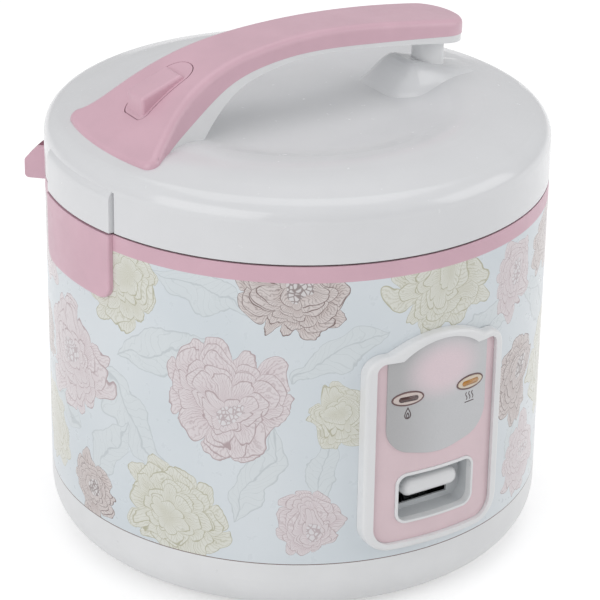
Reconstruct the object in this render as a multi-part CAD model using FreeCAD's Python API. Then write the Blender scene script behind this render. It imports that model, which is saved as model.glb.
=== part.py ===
import FreeCAD, Part
import math
import os

V = FreeCAD.Vector
UP = V(0, 0, 1)
ORIGIN = V(0, 0, 0)

# Rice cooker with a hinged lid and a carrying handle.
# Millimetres, +Z up, origin on the floor under the middle of the body.
# The control panel faces -Y, the lid latch is at -X and the lid hinge at +X.

# Fits
fit_gap = 0.1          # between fixed pieces with curved faces that meet
slide_gap = 0.2        # between a spigot and the sleeve it plugs into
run_gap = 0.3          # between pieces that move past each other
pin_gap = 0.05         # radial running fit of a pin

# Body levels and radii
body_radius = 130.0
foot_height = 3.0
base_height = 31.0
sleeve_height = 154.5
ring_height = 8.5
lid_gap = 1.0
sleeve_wall = 1.0

# Base and feet
base_inset = 18.0              # from the body's side to the edge of its underside
base_round_height = 21.0
base_wall = 3.0
spigot_height = 8.0
foot_inset = 12.0              # from the underside's edge to the middle of a foot
foot_radius = 8.0
foot_stem_radius = 3.0
foot_stem_height = 4.5
foot_count = 4
bottom_plate_inset = 9.0       # from the circle of feet to the bottom plate's edge
bottom_plate_overlap = 11.0    # of the bottom plate on the base's flange
bottom_plate_thickness = 1.5
air_slot_count = 10
air_slot_width = 4.0
air_slot_start = 30.0
air_slot_end = 62.0

# Screws
screw_radius = 1.5
screw_head_radius = 2.9
screw_head_height = 1.8
screw_length = 6.0

# Middle ring and liner
ring_wall = 3.0
ring_flange_thickness = 3.0
ring_flange_width = 13.0       # from the body's side inwards
liner_gap = 4.0                # between the pot and the liner
liner_wall = 1.0
liner_flange_inset = 6.0       # from the body's side to the liner flange's edge
liner_floor_above_seam = 18.0
liner_corner = 8.0
liner_screw_inset = 3.0        # from the liner flange's edge
liner_screw_grip = 1.8

# Heating plate, element and legs
leg_count = 3
leg_radius = 4.0
leg_circle = 40.0
plate_radius = 82.0
plate_thickness = 10.0
element_circle = 62.0
element_radius = 4.0
element_clearance = 1.0        # between the element and the liner's floor
terminal_radius = 2.0
terminal_half_spacing = 10.0
terminal_drop = 14.0

# Inner pot
pot_wall = 1.6
pot_corner = 8.0
pot_rim_width = 7.5
pot_rim_gap = 1.5              # between the pot's rim and the ring
pot_rim_rise = 0.5

# Thermostat in the middle of the heating plate
can_radius = 15.0
can_wall = 1.0
can_height = 16.0
can_flange_width = 1.8
can_flange_gap = 0.4
can_travel = 2.0
cup_wall = 1.0
cup_depth = 6.0
cup_rise = 6.0
cup_flange_overlap = 6.0       # of the cup's flange under the liner's floor
liner_hole_gap = 1.8           # between the cup and the hole in the liner
magnet_radius = 9.0
magnet_height = 7.0
magnet_travel = 5.0
magnet_spare = 0.5
rod_radius = 2.5
rod_gap = 0.7
rod_tail = 5.3
collar_radius = 5.0
collar_thickness = 2.0
collar_drop = 9.7
thermostat_wire_radius = 0.6
thermostat_turns = 3.5

# Cook lever
lever_thickness = 2.0
lever_half_width = 7.0
lever_pivot_y = -45.0
lever_pivot_above_strip = 7.0
lever_angle = 6.0              # from cooking up to cooking down
lever_tip_y = 6.0
ear_thickness = 2.0
ear_half_length = 6.0
ear_top_above_pivot = 4.0
riser_inset = 16.0             # from the body's side to the upright of the lever
tongue_inset = 3.0             # from the body's side to the tip inside the knob
lever_pin_radius = 2.0
lever_pin_overhang = 1.0
bracket_plate = 2.0
bracket_side_gap = 1.0
bracket_half_length = 7.0
bracket_foot = 10.0
bracket_below_pivot = 5.0
lever_spring_y = -95.0
lever_coil_radius = 4.0
lever_wire_radius = 0.5
lever_turns = 6.0

# Lever knob and its window
knob_half_width = 16.5
knob_height = 9.2
knob_depth = 6.5
knob_inset = 1.0               # from the body's side to the knob's front
knob_end_round = 4.4
knob_round = 2.8
knob_above_window_middle = 2.0
window_half_width = 22.0
window_height = 25.4
window_above_panel_bottom = 15.1
window_corner = 5.0
bezel_width = 1.4
bezel_rise = 0.8
well_depth = 10.0
well_wall = 1.2
well_slot_margin = 3.0         # below the lever's tongue at the end of its travel
well_slot_above_knob = 1.0
well_slot_inset = 1.5          # from the knob's ends

# Control panel
panel_above_seam = 6.5
panel_half_width = 40.5
panel_shoulder_height = 108.0
panel_hump_rise = 8.2
panel_hump_radius = 50.0
panel_hump_slope = 30.0        # degrees, where the hump runs out
panel_hump_foot_round = 6.0
panel_corner = 10.0
panel_bottom_corner = 15.0
panel_rise = 5.6
panel_edge_round = 2.2
frame_width = 5.0
frame_top_width = 3.2
frame_bottom_width = 4.0
frame_hump_radius = 34.0       # of the frame's inner edge
frame_hump_slope = 40.0
face_thickness = 3.4
badge_thickness = 0.7
badge_half_width = 29.4
badge_above_window = 9.0
badge_corner_rise = 7.0
badge_corner = 15.0
badge_bottom_radius = 40.0
lamp_half_spacing = 18.5
lamp_below_shoulder = 24.4
lamp_length = 16.0
lamp_height = 6.2
lamp_ring_width = 0.7
lamp_ring_rise = 0.5
lamp_depth = 4.0               # of the lenses behind the body's side
neon_radius = 3.0
neon_length = 14.0
neon_gap = 0.4

# Side blocks under the latch and the hinge
block_half_width = 32.0
block_height = 35.5
block_rise = 2.5
block_corner = 8.0

# Latch
latch_pin_inset = 10.0
latch_pin_above_lid = 15.0
latch_pin_radius = 1.5
latch_boss_radius = 4.0
latch_ear_thickness = 3.0
hook_half_width = 7.0
hook_stem_thickness = 2.5
hook_catch = 1.5
hook_barb_length = 2.5
hook_barb_height = 5.0
hook_arm_thickness = 3.0
keeper_thickness = 1.5
keeper_half_width = 14.0
keeper_lip = 4.25
slot_side_gap = 1.0

# Hinge
hinge_pin_out = 1.0            # of the pin's middle beyond the body's side
hinge_pin_radius = 1.5
knuckle_radius = 3.4
knuckle_top_gap = 0.6
knuckle_side_gap = 0.4
middle_knuckle_half = 7.0
lug_end = 20.0
outer_knuckle_end = 27.0
hinge_notch_depth = 4.5

# Lid shell: heights are above the lid's lower edge, insets are from the body's side
lid_wall = 2.5
shoulder_radius = 11.0
shoulder_corner_height = 28.5
crest_inset = 23.0
crest_height = 35.0
dish_edge_inset = 43.0
dish_edge_height = 36.6
dish_floor_inset = 64.0
dish_floor_height = 32.0
dish_centre_height = 31.0
lid_top_rounding = 60.0        # of the soft bends at the crest and around the dish
apron_rise = 2.0
apron_corner_height = 19.0
apron_corner_rounding = 8.0
apron_fade_inset = 4.0
apron_fade_height = 27.0
apron_slit_width = 1.2
apron_slit_depth = 1.6
apron_slit_height = 21.0
spine_section = [(30, 0), (24, 0.06), (18, 0.36), (13, 0.88), (10, 0.985)]   # half width, share of height
spine_foot_inset = 88.0
spine_foot_height = 30.0
spine_ramp_steps = 10
spine_start_inset = 64.0
spine_start_height = 45.6
spine_end_inset = 16.0
spine_end_height = 32.6

# Inside of the lid
frame_level = 3.0
frame_plate = 2.5
frame_clearance = 0.3
inner_plate_overlap = 0.5      # of the inner plate beyond the pot's rim
inner_plate_thickness = 1.2
gasket_inset = 0.5             # from the pot rim's edge
gasket_width = 6.0
plate_knob_radius = 9.0
plate_knob_rise = 3.5
plate_knob_stem_radius = 4.0

# Steam vent
vent_x = 10.0
vent_inset = 58.0
vent_radius = 15.0
vent_rise = 4.5
vent_tube_radius = 7.0
vent_tube_wall = 1.5
vent_slot_count = 3
vent_slot_width = 1.5
vent_slot_spacing = 3.6
vent_roof = 2.5
vent_gasket_width = 3.0

# Handle: heights are above the lid's lower edge, the first number of each pair is the distance from
# the handle's base end, or from its tip in the lists named for the tip
handle_base_inset = 13.0       # from the body's side to the handle's base end
handle_tip_inset = 33.0        # from the body's side to the handle's tip
handle_wall = 2.5
handle_edge_round = 3.5
handle_tip_round = 17.0
handle_corner_round = 5.0
handle_lower_inset = 0.2
handle_corner = (8, 45)        # where the flared side would meet the base's edge
handle_side_base = [(22, 33.4), (32, 28), (42, 24.1), (52, 21.5), (67, 18.9), (87, 17)]
handle_side_middle = 15.6      # half width halfway between base end and tip
handle_side_tip = [(87, 15.4), (62, 16.4), (37, 17.6)]
handle_tip_half_width = 18.0
handle_top_base = [(0, 33.8), (10, 37.2), (22, 46.4), (32, 54.3), (42, 60.5), (52, 65.2), (67, 70),
                   (87, 73.4)]
handle_top_tip = [(97, 75.4), (77, 74.9), (57, 73.4), (37, 71.2), (22, 69.2), (8, 67), (0, 65.4)]
handle_seam_base = [(0, 26), (22, 35.5), (42, 44.8), (62, 56.4), (72, 60.4), (87, 63.7)]
handle_seam_tip = [(97, 65.5), (57, 63.4), (37, 61.9), (22, 60.5), (8, 59), (0, 57.8)]
handle_under_base = [(47, 32), (59, 45.5), (72, 55), (87, 59.8)]
handle_under_tip = [(97, 63.2), (77, 62.7), (57, 61), (37, 58.9), (22, 56.9), (0, 53.8)]
handle_lower_setback = 0.4     # of the lower half from the tip
post_place = 17.0              # from the tip
post_radius = 8.5
handle_screw_places = [21.0, 13.0]
handle_screw_length = 12.0

# Release button: places are distances from the handle's base end
button_place = 36.5
button_half_length = 16.5
button_half_width = 9.5
button_outer_round = 4.0
button_inner_round = 9.0
button_gap = 0.5
button_thickness = 3.0
button_flange = 1.5
button_travel = 4.4
button_ridge_half_width = 8.0
button_ridge_start = 21.5
button_ridge_end = 45.0
button_ridge_outer_rise = 9.5
button_ridge_inner_rise = 2.2
button_ridge_round = 1.8
button_stem_place = 35.0
button_stem_radius = 2.5
button_stem_gap = 0.7
button_well_margin = 3.5       # around the button's flange
button_post_place = 49.0
button_post_radius = 5.0
button_spring_pressed = 13.6
button_coil_radius = 3.5
button_wire_radius = 0.4
button_turns = 6.0

# Power inlet at the rear
inlet_half_width = 16.0
inlet_height = 26.0
inlet_above_spigot = 1.0
inlet_flange = 3.0
inlet_flange_rise = 1.6
inlet_depth = 15.0
inlet_wall = 3.0
inlet_corner = 4.0
inlet_pin_half_width = 1.0
inlet_pin_half_height = 2.5
inlet_pin_length = 9.0
inlet_pin_spacing = 7.0
inlet_pin_drop = 4.0

# Microswitch beside the lever
switch_side_gap = 6.0
switch_bracket_gap = 4.0
switch_size = V(20.0, 12.0, 12.0)
switch_round = 1.0
switch_terminal = V(1.0, 4.0, 5.0)
switch_terminal_inset = 4.0

# Paddle holder at the left rear
holder_angle = -142.5
holder_half_angle = 8.5
holder_reach = 17.0
holder_height = 18.0
holder_below_ring_top = 3.5
holder_lip_height = 10.5
holder_lip_start = 10.0
holder_wall = 2.2

# Levels worked out from the values above
base_z = foot_height
seam_z = base_z + base_height
ring_z = seam_z + sleeve_height
ring_top = ring_z + ring_height
lid_z = ring_top + lid_gap
flange_z = ring_top - ring_flange_thickness
liner_floor_z = seam_z + liner_floor_above_seam
floor_top_z = liner_floor_z + liner_wall
plate_z = floor_top_z + 2 * element_radius + element_clearance
plate_top = plate_z + plate_thickness
pot_z = plate_top + run_gap
pot_rim_z = ring_top + pot_rim_rise
frame_z = lid_z + frame_level
inner_plate_z = frame_z - inner_plate_thickness
cup_floor_z = liner_floor_z - cup_depth
can_z = plate_top - can_height
magnet_top = plate_top - can_wall - magnet_travel - can_travel - magnet_spare
magnet_z = magnet_top - magnet_height
collar_z = cup_floor_z - collar_drop
strip_top = collar_z - run_gap
strip_z = strip_top - lever_thickness
lever_pivot_z = strip_top + lever_pivot_above_strip
panel_bottom_z = seam_z + panel_above_seam
panel_shoulder_z = panel_bottom_z + panel_shoulder_height
panel_hump_z = panel_shoulder_z + panel_hump_rise
window_z = panel_bottom_z + window_above_panel_bottom + window_height / 2
knob_z = window_z + knob_above_window_middle
badge_bottom_z = window_z + window_height / 2 + badge_above_window
lamp_z = panel_shoulder_z - lamp_below_shoulder
latch_pin_z = lid_z + latch_pin_above_lid
hinge_pin_z = lid_z - knuckle_radius - knuckle_top_gap
keeper_z = flange_z - keeper_thickness
barb_z = keeper_z - run_gap
hook_foot_z = barb_z - hook_barb_height
arm_top = latch_pin_z + hook_arm_thickness / 2
inlet_z = seam_z + spigot_height + inlet_above_spigot + inlet_height / 2

# Radii and places worked out from the values above
sleeve_inner = body_radius - sleeve_wall
spigot_outer = sleeve_inner - slide_gap
skin_radius = body_radius + fit_gap
face_radius = skin_radius + face_thickness
badge_radius = face_radius + badge_thickness
base_bottom_radius = body_radius - base_inset
foot_circle = base_bottom_radius - foot_inset
bottom_plate_radius = foot_circle - bottom_plate_inset
base_flange_inner = bottom_plate_radius - bottom_plate_overlap
bottom_screw_circle = bottom_plate_radius - bottom_plate_overlap / 2
ring_inner = body_radius - ring_wall
ring_flange_inner = body_radius - ring_flange_width
pot_rim_radius = ring_flange_inner - pot_rim_gap
pot_radius = pot_rim_radius - pot_rim_width
liner_radius = pot_radius + liner_gap
liner_flange_radius = body_radius - liner_flange_inset
liner_screw_circle = liner_flange_radius - liner_screw_inset
can_flange_radius = can_radius + can_flange_width
cup_radius = can_flange_radius + can_flange_gap
plate_hole_radius = cup_radius + run_gap
liner_hole_radius = cup_radius + cup_wall + liner_hole_gap
cup_flange_radius = liner_hole_radius + cup_flange_overlap
rod_hole_radius = rod_radius + rod_gap
riser_y = riser_inset - body_radius
tongue_tip_y = tongue_inset - body_radius
knob_front = body_radius - knob_inset
well_back_y = well_depth - body_radius
lamp_back = body_radius - lamp_depth
inner_plate_radius = pot_rim_radius + inner_plate_overlap
gasket_outer = pot_rim_radius - gasket_inset
gasket_inner = gasket_outer - gasket_width
crest_radius = body_radius - crest_inset
dish_edge_radius = body_radius - dish_edge_inset
dish_floor_radius = body_radius - dish_floor_inset
apron_fade_radius = body_radius - apron_fade_inset
hinge_pin_x = body_radius + hinge_pin_out
hinge_notch_x = body_radius - hinge_notch_depth
latch_pin_x = latch_pin_inset - body_radius
hook_outer_x = latch_pin_x - hook_stem_thickness / 2
hook_inner_x = latch_pin_x + hook_stem_thickness / 2
keeper_edge_x = hook_inner_x + hook_barb_length - hook_catch
slot_half_width = hook_half_width + slot_side_gap
handle_tip_x = body_radius - handle_tip_inset
handle_base_x = handle_base_inset - body_radius
handle_lower_tip_x = handle_tip_x - handle_lower_setback
handle_screw_xs = [handle_tip_x - place for place in handle_screw_places]
post_x = handle_tip_x - post_place
spine_foot_x = body_radius - spine_foot_inset
spine_start_x = body_radius - spine_start_inset
spine_end_x = body_radius - spine_end_inset
vent_y = body_radius - vent_inset
button_x = handle_base_x + button_place
button_stem_x = handle_base_x + button_stem_place
button_post_x = handle_base_x + button_post_place
lever_drop = (lever_pivot_y - well_back_y) * math.sin(math.radians(lever_angle))
arm_reach = button_stem_x - button_stem_radius - latch_pin_x
arm_drop = button_travel - button_stem_gap + run_gap
latch_angle = math.asin(arm_drop / arm_reach)
slot_outer_x = hook_outer_x - (latch_pin_z - hook_foot_z) * math.sin(latch_angle) - run_gap


# Shape helpers

def rounded_wire(corners, place):
    """Closed wire through (u, v, rounding) corners; place turns (u, v) into a point in space."""
    spans = []
    count = len(corners)
    for index in range(count):
        u, v, rounding = corners[index]
        here = V(u, v, 0)
        back = V(corners[index - 1][0], corners[index - 1][1], 0) - here
        ahead = V(corners[(index + 1) % count][0], corners[(index + 1) % count][1], 0) - here
        back.normalize()
        ahead.normalize()
        half = back.getAngle(ahead) / 2
        reach = rounding / math.tan(half)
        toward = back + ahead
        if rounding > 0:
            toward.normalize()
        middle = here + toward * (rounding / math.sin(half) - rounding)
        spans.append((here + back * reach, middle, here + ahead * reach, rounding))
    edges = []
    for index in range(count):
        start, middle, end, rounding = spans[index]
        if rounding > 0:
            points = [place(p.x, p.y) for p in (start, middle, end)]
            edges.append(Part.Arc(*points).toShape())
        following = spans[(index + 1) % count][0]
        if (following - end).Length > 1e-6:
            edges.append(Part.LineSegment(place(end.x, end.y), place(following.x, following.y)).toShape())
    return Part.Wire(Part.__sortEdges__(edges))


def in_profile(radius, height):
    return V(radius, 0, height)


def in_plan(x, y):
    return V(x, y, 0)


def in_front(x, z):
    return V(x, -2 * body_radius, z)


def in_side(y, z):
    return V(0, y, z)


def turned(corners):
    """Solid of revolution about the body's axis."""
    face = Part.Face(rounded_wire(corners, in_profile))
    return face.revolve(ORIGIN, UP, 360)


def turned_sector(corners, front_angle, half_angle):
    """Part of a turned solid, centred on an angle counted from the front towards +X."""
    face = Part.Face(rounded_wire(corners, in_profile))
    face.rotate(ORIGIN, UP, front_angle - 90 - half_angle)
    return face.revolve(ORIGIN, UP, 2 * half_angle)


def tube(outer, inner, low, high):
    ring = Part.makeCylinder(outer, high - low, V(0, 0, low))
    if inner > 0:
        ring = ring.cut(Part.makeCylinder(inner, high - low, V(0, 0, low)))
    return ring


def block(x0, x1, y0, y1, z0, z1):
    return Part.makeBox(x1 - x0, y1 - y0, z1 - z0, V(x0, y0, z0))


def rod(radius, start, end):
    return Part.makeCylinder(radius, (end - start).Length, start, end - start)


def rounded_rectangle(half_width, low, high, rounding):
    return [(-half_width, low, rounding), (half_width, low, rounding),
            (half_width, high, rounding), (-half_width, high, rounding)]


def front_prism(corners):
    """Prism through the front of the body, from an outline in X and Z."""
    return Part.Face(rounded_wire(corners, in_front)).extrude(V(0, 2 * body_radius, 0))


def rear_prism(corners):
    return front_prism(corners).mirror(ORIGIN, V(0, 1, 0))


def side_prism(corners, side):
    """Prism through the -X or +X side of the body, from an outline in Y and Z."""
    return Part.Face(rounded_wire(corners, in_side)).extrude(V(side * 2 * body_radius, 0, 0))


def skin(inner, outer):
    """Upright shell between two radii, as tall as the body."""
    return tube(outer, inner, 0, lid_z)


def around(radius, count, start_angle):
    """Points spaced evenly on a circle about the axis."""
    points = []
    for index in range(count):
        angle = math.radians(start_angle + 360.0 * index / count)
        points.append(V(radius * math.cos(angle), radius * math.sin(angle), 0))
    return points


def spline(points):
    curve = Part.BSplineCurve()
    curve.interpolate(points)
    return curve.toShape()


def arc_from_tangent(start, tangent, end):
    """Circular arc that leaves start along tangent and reaches end."""
    chord = end - start
    length = chord.Length
    chord.normalize()
    bend = tangent.getAngle(chord)
    sideways = tangent - chord * tangent.dot(chord)
    sideways.normalize()
    middle = (start + end) * 0.5 + sideways * (length / 2 * math.tan(bend / 2))
    return Part.Arc(start, middle, end).toShape()


def biarc(start, start_tangent, end, end_tangent):
    """Two arcs that join smoothly between two points with given tangents."""
    span = end - start
    both = start_tangent + end_tangent
    turn = 2 * (1 - start_tangent.dot(end_tangent))
    along = span.dot(both)
    reach = (-along + math.sqrt(along * along + turn * span.dot(span))) / turn
    joint = (start + start_tangent * reach + end - end_tangent * reach) * 0.5
    first = arc_from_tangent(start, start_tangent, joint)
    second = arc_from_tangent(end, end_tangent * -1, joint)
    return [first, second]


def coil_spring(name, centre, length, coil_radius, wire_radius, turns):
    """Round wire wound up the Z axis from centre, with its ends inside the length."""
    climb = length - 2 * wire_radius
    quarters = int(round(4 * turns))
    places = []
    tangents = []
    for index in range(quarters + 1):
        angle = index * math.pi / 2
        height = wire_radius + climb * index / quarters
        places.append(centre + V(coil_radius * math.cos(angle), coil_radius * math.sin(angle), height))
        tangent = V(-coil_radius * math.sin(angle), coil_radius * math.cos(angle),
                    climb / quarters / (math.pi / 2))
        tangent.normalize()
        tangents.append(tangent)
    edges = []
    for index in range(quarters):
        edges += biarc(places[index], tangents[index], places[index + 1], tangents[index + 1])
    path = Part.Wire(Part.__sortEdges__(edges))
    section = Part.Wire(Part.makeCircle(wire_radius, places[0], tangents[0]))
    wound = path.makePipeShell([section], True, False)
    gap = least_gap(places) - 2 * wire_radius
    print(name, "least gap between turns", round(gap, 2), "mm")
    return wound


def least_gap(places):
    """Least distance between points that lie at least three quarter turns apart."""
    least = None
    for first in range(len(places)):
        for second in range(first + 3, len(places)):
            apart = (places[second] - places[first]).Length
            if least is None or apart < least:
                least = apart
    return least


def screw(seat, length):
    """Upright screw whose head bears on the seat from below."""
    shank = rod(screw_radius, seat, seat + UP * length)
    head = rod(screw_head_radius, seat - UP * screw_head_height, seat)
    return head.fuse(shank).removeSplitter()


# Base

def make_base_housing():
    arc_radius = (base_inset ** 2 + base_round_height ** 2) / (2 * base_inset)
    centre_r = body_radius - arc_radius
    centre_z = base_z + base_round_height
    inner_arc = arc_radius - base_wall
    flange_top = base_z + base_wall

    def on_arc(radius, angle):
        return V(centre_r + radius * math.cos(angle), 0, centre_z - radius * math.sin(angle))

    outer_end = math.asin(base_round_height / arc_radius)
    inner_end = math.asin((centre_z - flange_top) / inner_arc)
    outer_foot = on_arc(arc_radius, outer_end)
    inner_foot = on_arc(inner_arc, inner_end)
    spigot_top = seam_z + spigot_height
    corners = [outer_foot, V(base_flange_inner, 0, base_z), V(base_flange_inner, 0, flange_top), inner_foot]
    wall_foot = on_arc(inner_arc, 0)
    rise = [wall_foot, wall_foot + UP * (spigot_top - centre_z), V(spigot_outer, 0, spigot_top),
            V(spigot_outer, 0, seam_z), V(body_radius, 0, seam_z), on_arc(arc_radius, 0)]
    edges = [Part.LineSegment(a, b).toShape() for a, b in zip(corners, corners[1:])]
    edges.append(Part.Arc(inner_foot, on_arc(inner_arc, inner_end / 2), rise[0]).toShape())
    edges += [Part.LineSegment(a, b).toShape() for a, b in zip(rise, rise[1:])]
    edges.append(Part.Arc(rise[-1], on_arc(arc_radius, outer_end / 2), outer_foot).toShape())
    housing = Part.Face(Part.Wire(Part.__sortEdges__(edges))).revolve(ORIGIN, UP, 360)
    for point in around(foot_circle, foot_count, 45):
        housing = housing.cut(rod(foot_stem_radius + fit_gap, point, point + UP * (seam_z - base_z)))
    for point in around(bottom_screw_circle, foot_count, 0):
        housing = housing.cut(rod(screw_radius + fit_gap, point, point + UP * (seam_z - base_z)))
    return housing


def make_bottom_plate():
    low = base_z + base_wall
    high = low + bottom_plate_thickness
    plate = tube(bottom_plate_radius, 0, low, high)
    slot = block(air_slot_start, air_slot_end, -air_slot_width / 2, air_slot_width / 2, low, high)
    for index in range(air_slot_count):
        turned_slot = slot.copy()
        turned_slot.rotate(ORIGIN, UP, 360.0 * index / air_slot_count)
        plate = plate.cut(turned_slot)
    for point in around(bottom_screw_circle, foot_count, 0):
        plate = plate.cut(rod(screw_radius + fit_gap, point, point + UP * seam_z))
    return plate


def make_rubber_feet():
    feet = []
    for point in around(foot_circle, foot_count, 45):
        pad = rod(foot_radius, point, point + UP * foot_height)
        stem = rod(foot_stem_radius, point, point + UP * (foot_height + foot_stem_height))
        feet.append(pad.fuse(stem).removeSplitter())
    return Part.makeCompound(feet)


def make_base_screws():
    screws = []
    for point in around(bottom_screw_circle, foot_count, 0):
        screws.append(screw(point + UP * base_z, screw_length))
    return Part.makeCompound(screws)


# Sleeve and ring

def make_body_sleeve():
    sleeve = tube(body_radius, sleeve_inner, seam_z, ring_z)
    sleeve = sleeve.cut(front_prism(window_outline(well_wall + fit_gap)))
    for side in (-1, 1):
        sleeve = sleeve.cut(lamp_prism(side, fit_gap))
    sleeve = sleeve.cut(rear_prism(inlet_outline(fit_gap)))
    return sleeve


def make_middle_ring():
    spigot_low = ring_z - spigot_height
    corners = [(ring_flange_inner, ring_top, 0), (body_radius, ring_top, 0), (body_radius, ring_z, 0),
               (spigot_outer, ring_z, 0), (spigot_outer, spigot_low, 0), (ring_inner, spigot_low, 0),
               (ring_inner, flange_z, 0), (ring_flange_inner, flange_z, 0)]
    ring = turned(corners)
    ring = ring.cut(block(slot_outer_x, -pot_rim_radius, -slot_half_width, slot_half_width, ring_z, lid_z))
    hinge_span = outer_knuckle_end + knuckle_side_gap
    ring = ring.cut(block(hinge_notch_x, 2 * body_radius, -hinge_span, hinge_span, ring_z, lid_z))
    for point in around(liner_screw_circle, foot_count, 45):
        low = point + UP * flange_z
        ring = ring.cut(rod(screw_radius + fit_gap, low, low + UP * (liner_screw_grip + fit_gap)))
    return ring


def make_inner_liner():
    outer = liner_radius + liner_wall
    low = flange_z - liner_wall
    corners = [(liner_hole_radius, liner_floor_z, 0), (outer, liner_floor_z, liner_corner),
               (outer, low, 0), (liner_flange_radius, low, 0), (liner_flange_radius, flange_z, 0),
               (liner_radius, flange_z, 0), (liner_radius, floor_top_z, liner_corner - liner_wall),
               (liner_hole_radius, floor_top_z, 0)]
    liner = turned(corners)
    reach = keeper_half_width + run_gap
    liner = liner.cut(block(-body_radius, keeper_inner_x() + run_gap, -reach, reach, low, flange_z))
    for point in around(liner_screw_circle, foot_count, 45):
        liner = liner.cut(rod(screw_radius + fit_gap, point + UP * low, point + UP * flange_z))
    for side in (-1, 1):
        place = terminal_place(side)
        hole = rod(terminal_radius + run_gap, place, place + UP * plate_z)
        liner = liner.cut(hole)
    return liner


def make_liner_screws():
    screws = []
    for point in around(liner_screw_circle, foot_count, 45):
        start = point + UP * (flange_z - liner_wall)
        screws.append(screw(start, liner_wall + liner_screw_grip))
    return Part.makeCompound(screws)


# Heating

def make_heating_plate():
    return tube(plate_radius, plate_hole_radius, plate_z, plate_top)


def terminal_place(side):
    y = math.sqrt(element_circle ** 2 - terminal_half_spacing ** 2)
    return V(side * terminal_half_spacing, y, 0)


def make_heating_element():
    level = plate_z - element_radius
    element = Part.makeTorus(element_circle, element_radius, V(0, 0, level))
    for side in (-1, 1):
        top = terminal_place(side) + UP * level
        element = element.fuse(rod(terminal_radius, top - UP * terminal_drop, top))
    return element.removeSplitter()


def make_plate_legs():
    legs = []
    for point in around(leg_circle, leg_count, 90):
        legs.append(rod(leg_radius, point + UP * floor_top_z, point + UP * plate_z))
    return Part.makeCompound(legs)


def make_inner_pot():
    rim_low = pot_rim_z - pot_wall
    inner = pot_radius - pot_wall
    corners = [(0, pot_z, 0), (pot_radius, pot_z, pot_corner), (pot_radius, rim_low, pot_wall),
               (pot_rim_radius, rim_low, 0), (pot_rim_radius, pot_rim_z, 0),
               (inner, pot_rim_z, 2 * pot_wall), (inner, pot_z + pot_wall, pot_corner - pot_wall),
               (0, pot_z + pot_wall, 0)]
    return turned(corners)


# Thermostat

def make_thermostat_cup():
    outer = cup_radius + cup_wall
    top = floor_top_z + cup_rise
    cup = tube(outer, cup_radius, cup_floor_z, top)
    cup = cup.fuse(tube(outer, rod_hole_radius, cup_floor_z, cup_floor_z + cup_wall))
    cup = cup.fuse(tube(cup_flange_radius, cup_radius, liner_floor_z - cup_wall, liner_floor_z))
    return cup.removeSplitter()


def make_thermostat_can():
    can = tube(can_radius, 0, can_z, plate_top)
    can = can.fuse(tube(can_flange_radius, 0, can_z, can_z + can_wall))
    inside = can_radius - can_wall
    return can.cut(tube(inside, 0, can_z, plate_top - can_wall)).removeSplitter()


def make_thermostat_magnet():
    magnet = tube(magnet_radius, 0, magnet_z, magnet_top)
    magnet = magnet.fuse(tube(rod_radius, 0, collar_z - rod_tail, magnet_z))
    magnet = magnet.fuse(tube(collar_radius, 0, collar_z, collar_z + collar_thickness))
    return magnet.removeSplitter()


def make_thermostat_spring():
    seat = cup_floor_z + cup_wall
    return coil_spring("thermostat_spring", V(0, 0, seat), can_z - seat, can_radius,
                       thermostat_wire_radius, thermostat_turns)


# Cook lever

def make_cook_lever():
    w = lever_half_width
    riser_back = riser_y - lever_thickness
    tongue_z = knob_z - lever_thickness / 2
    lever = block(-w, w, riser_back, lever_tip_y, strip_z, strip_top)
    fork = block(-rod_hole_radius, rod_hole_radius, -rod_hole_radius, lever_tip_y, strip_z, strip_top)
    lever = lever.cut(fork)
    lever = lever.fuse(block(-w, w, riser_back, riser_y, strip_z, tongue_z + lever_thickness))
    lever = lever.fuse(block(-w, w, tongue_tip_y, riser_y, tongue_z, tongue_z + lever_thickness))
    for side in (-1, 1):
        inner = side * (w - ear_thickness)
        outer = side * w
        lever = lever.fuse(block(min(inner, outer), max(inner, outer), lever_pivot_y - ear_half_length,
                                 lever_pivot_y + ear_half_length, strip_z,
                                 lever_pivot_z + ear_top_above_pivot))
    return lever.cut(lever_axis_rod(lever_pin_radius + pin_gap, body_radius)).removeSplitter()


def lever_axis_rod(radius, half_length):
    middle = V(0, lever_pivot_y, lever_pivot_z)
    return rod(radius, middle - V(half_length, 0, 0), middle + V(half_length, 0, 0))


def bracket_inner_x():
    return lever_half_width + bracket_side_gap


def make_lever_bracket():
    inner = bracket_inner_x()
    outer = inner + bracket_plate
    y0 = lever_pivot_y - bracket_half_length
    y1 = lever_pivot_y + bracket_half_length
    low = lever_pivot_z - bracket_below_pivot
    top = liner_floor_z
    reach = outer + bracket_foot
    bracket = block(-reach, reach, y0, y1, top - bracket_plate, top)
    bracket = bracket.fuse(block(-outer, -inner, y0, y1, low, top))
    bracket = bracket.fuse(block(inner, outer, y0, y1, low, top))
    return bracket.cut(lever_axis_rod(lever_pin_radius + pin_gap, body_radius)).removeSplitter()


def make_lever_pin():
    return lever_axis_rod(lever_pin_radius, bracket_inner_x() + bracket_plate + lever_pin_overhang)


def make_lever_spring():
    return coil_spring("lever_spring", V(0, lever_spring_y, strip_top), liner_floor_z - strip_top,
                       lever_coil_radius, lever_wire_radius, lever_turns)


def make_microswitch():
    y = lever_pivot_y - bracket_half_length - switch_bracket_gap - switch_size.y
    corner = V(lever_half_width + switch_side_gap, y, liner_floor_z - switch_size.z)
    body = Part.makeBox(switch_size.x, switch_size.y, switch_size.z, corner)
    body = body.makeFillet(switch_round, body.Edges)
    for inset in (switch_terminal_inset, switch_size.x - switch_terminal_inset - switch_terminal.x):
        foot = corner + V(inset, (switch_size.y - switch_terminal.y) / 2, -switch_terminal.z)
        tab = Part.makeBox(switch_terminal.x, switch_terminal.y, switch_terminal.z + switch_round, foot)
        body = body.fuse(tab)
    return body.removeSplitter()


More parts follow.
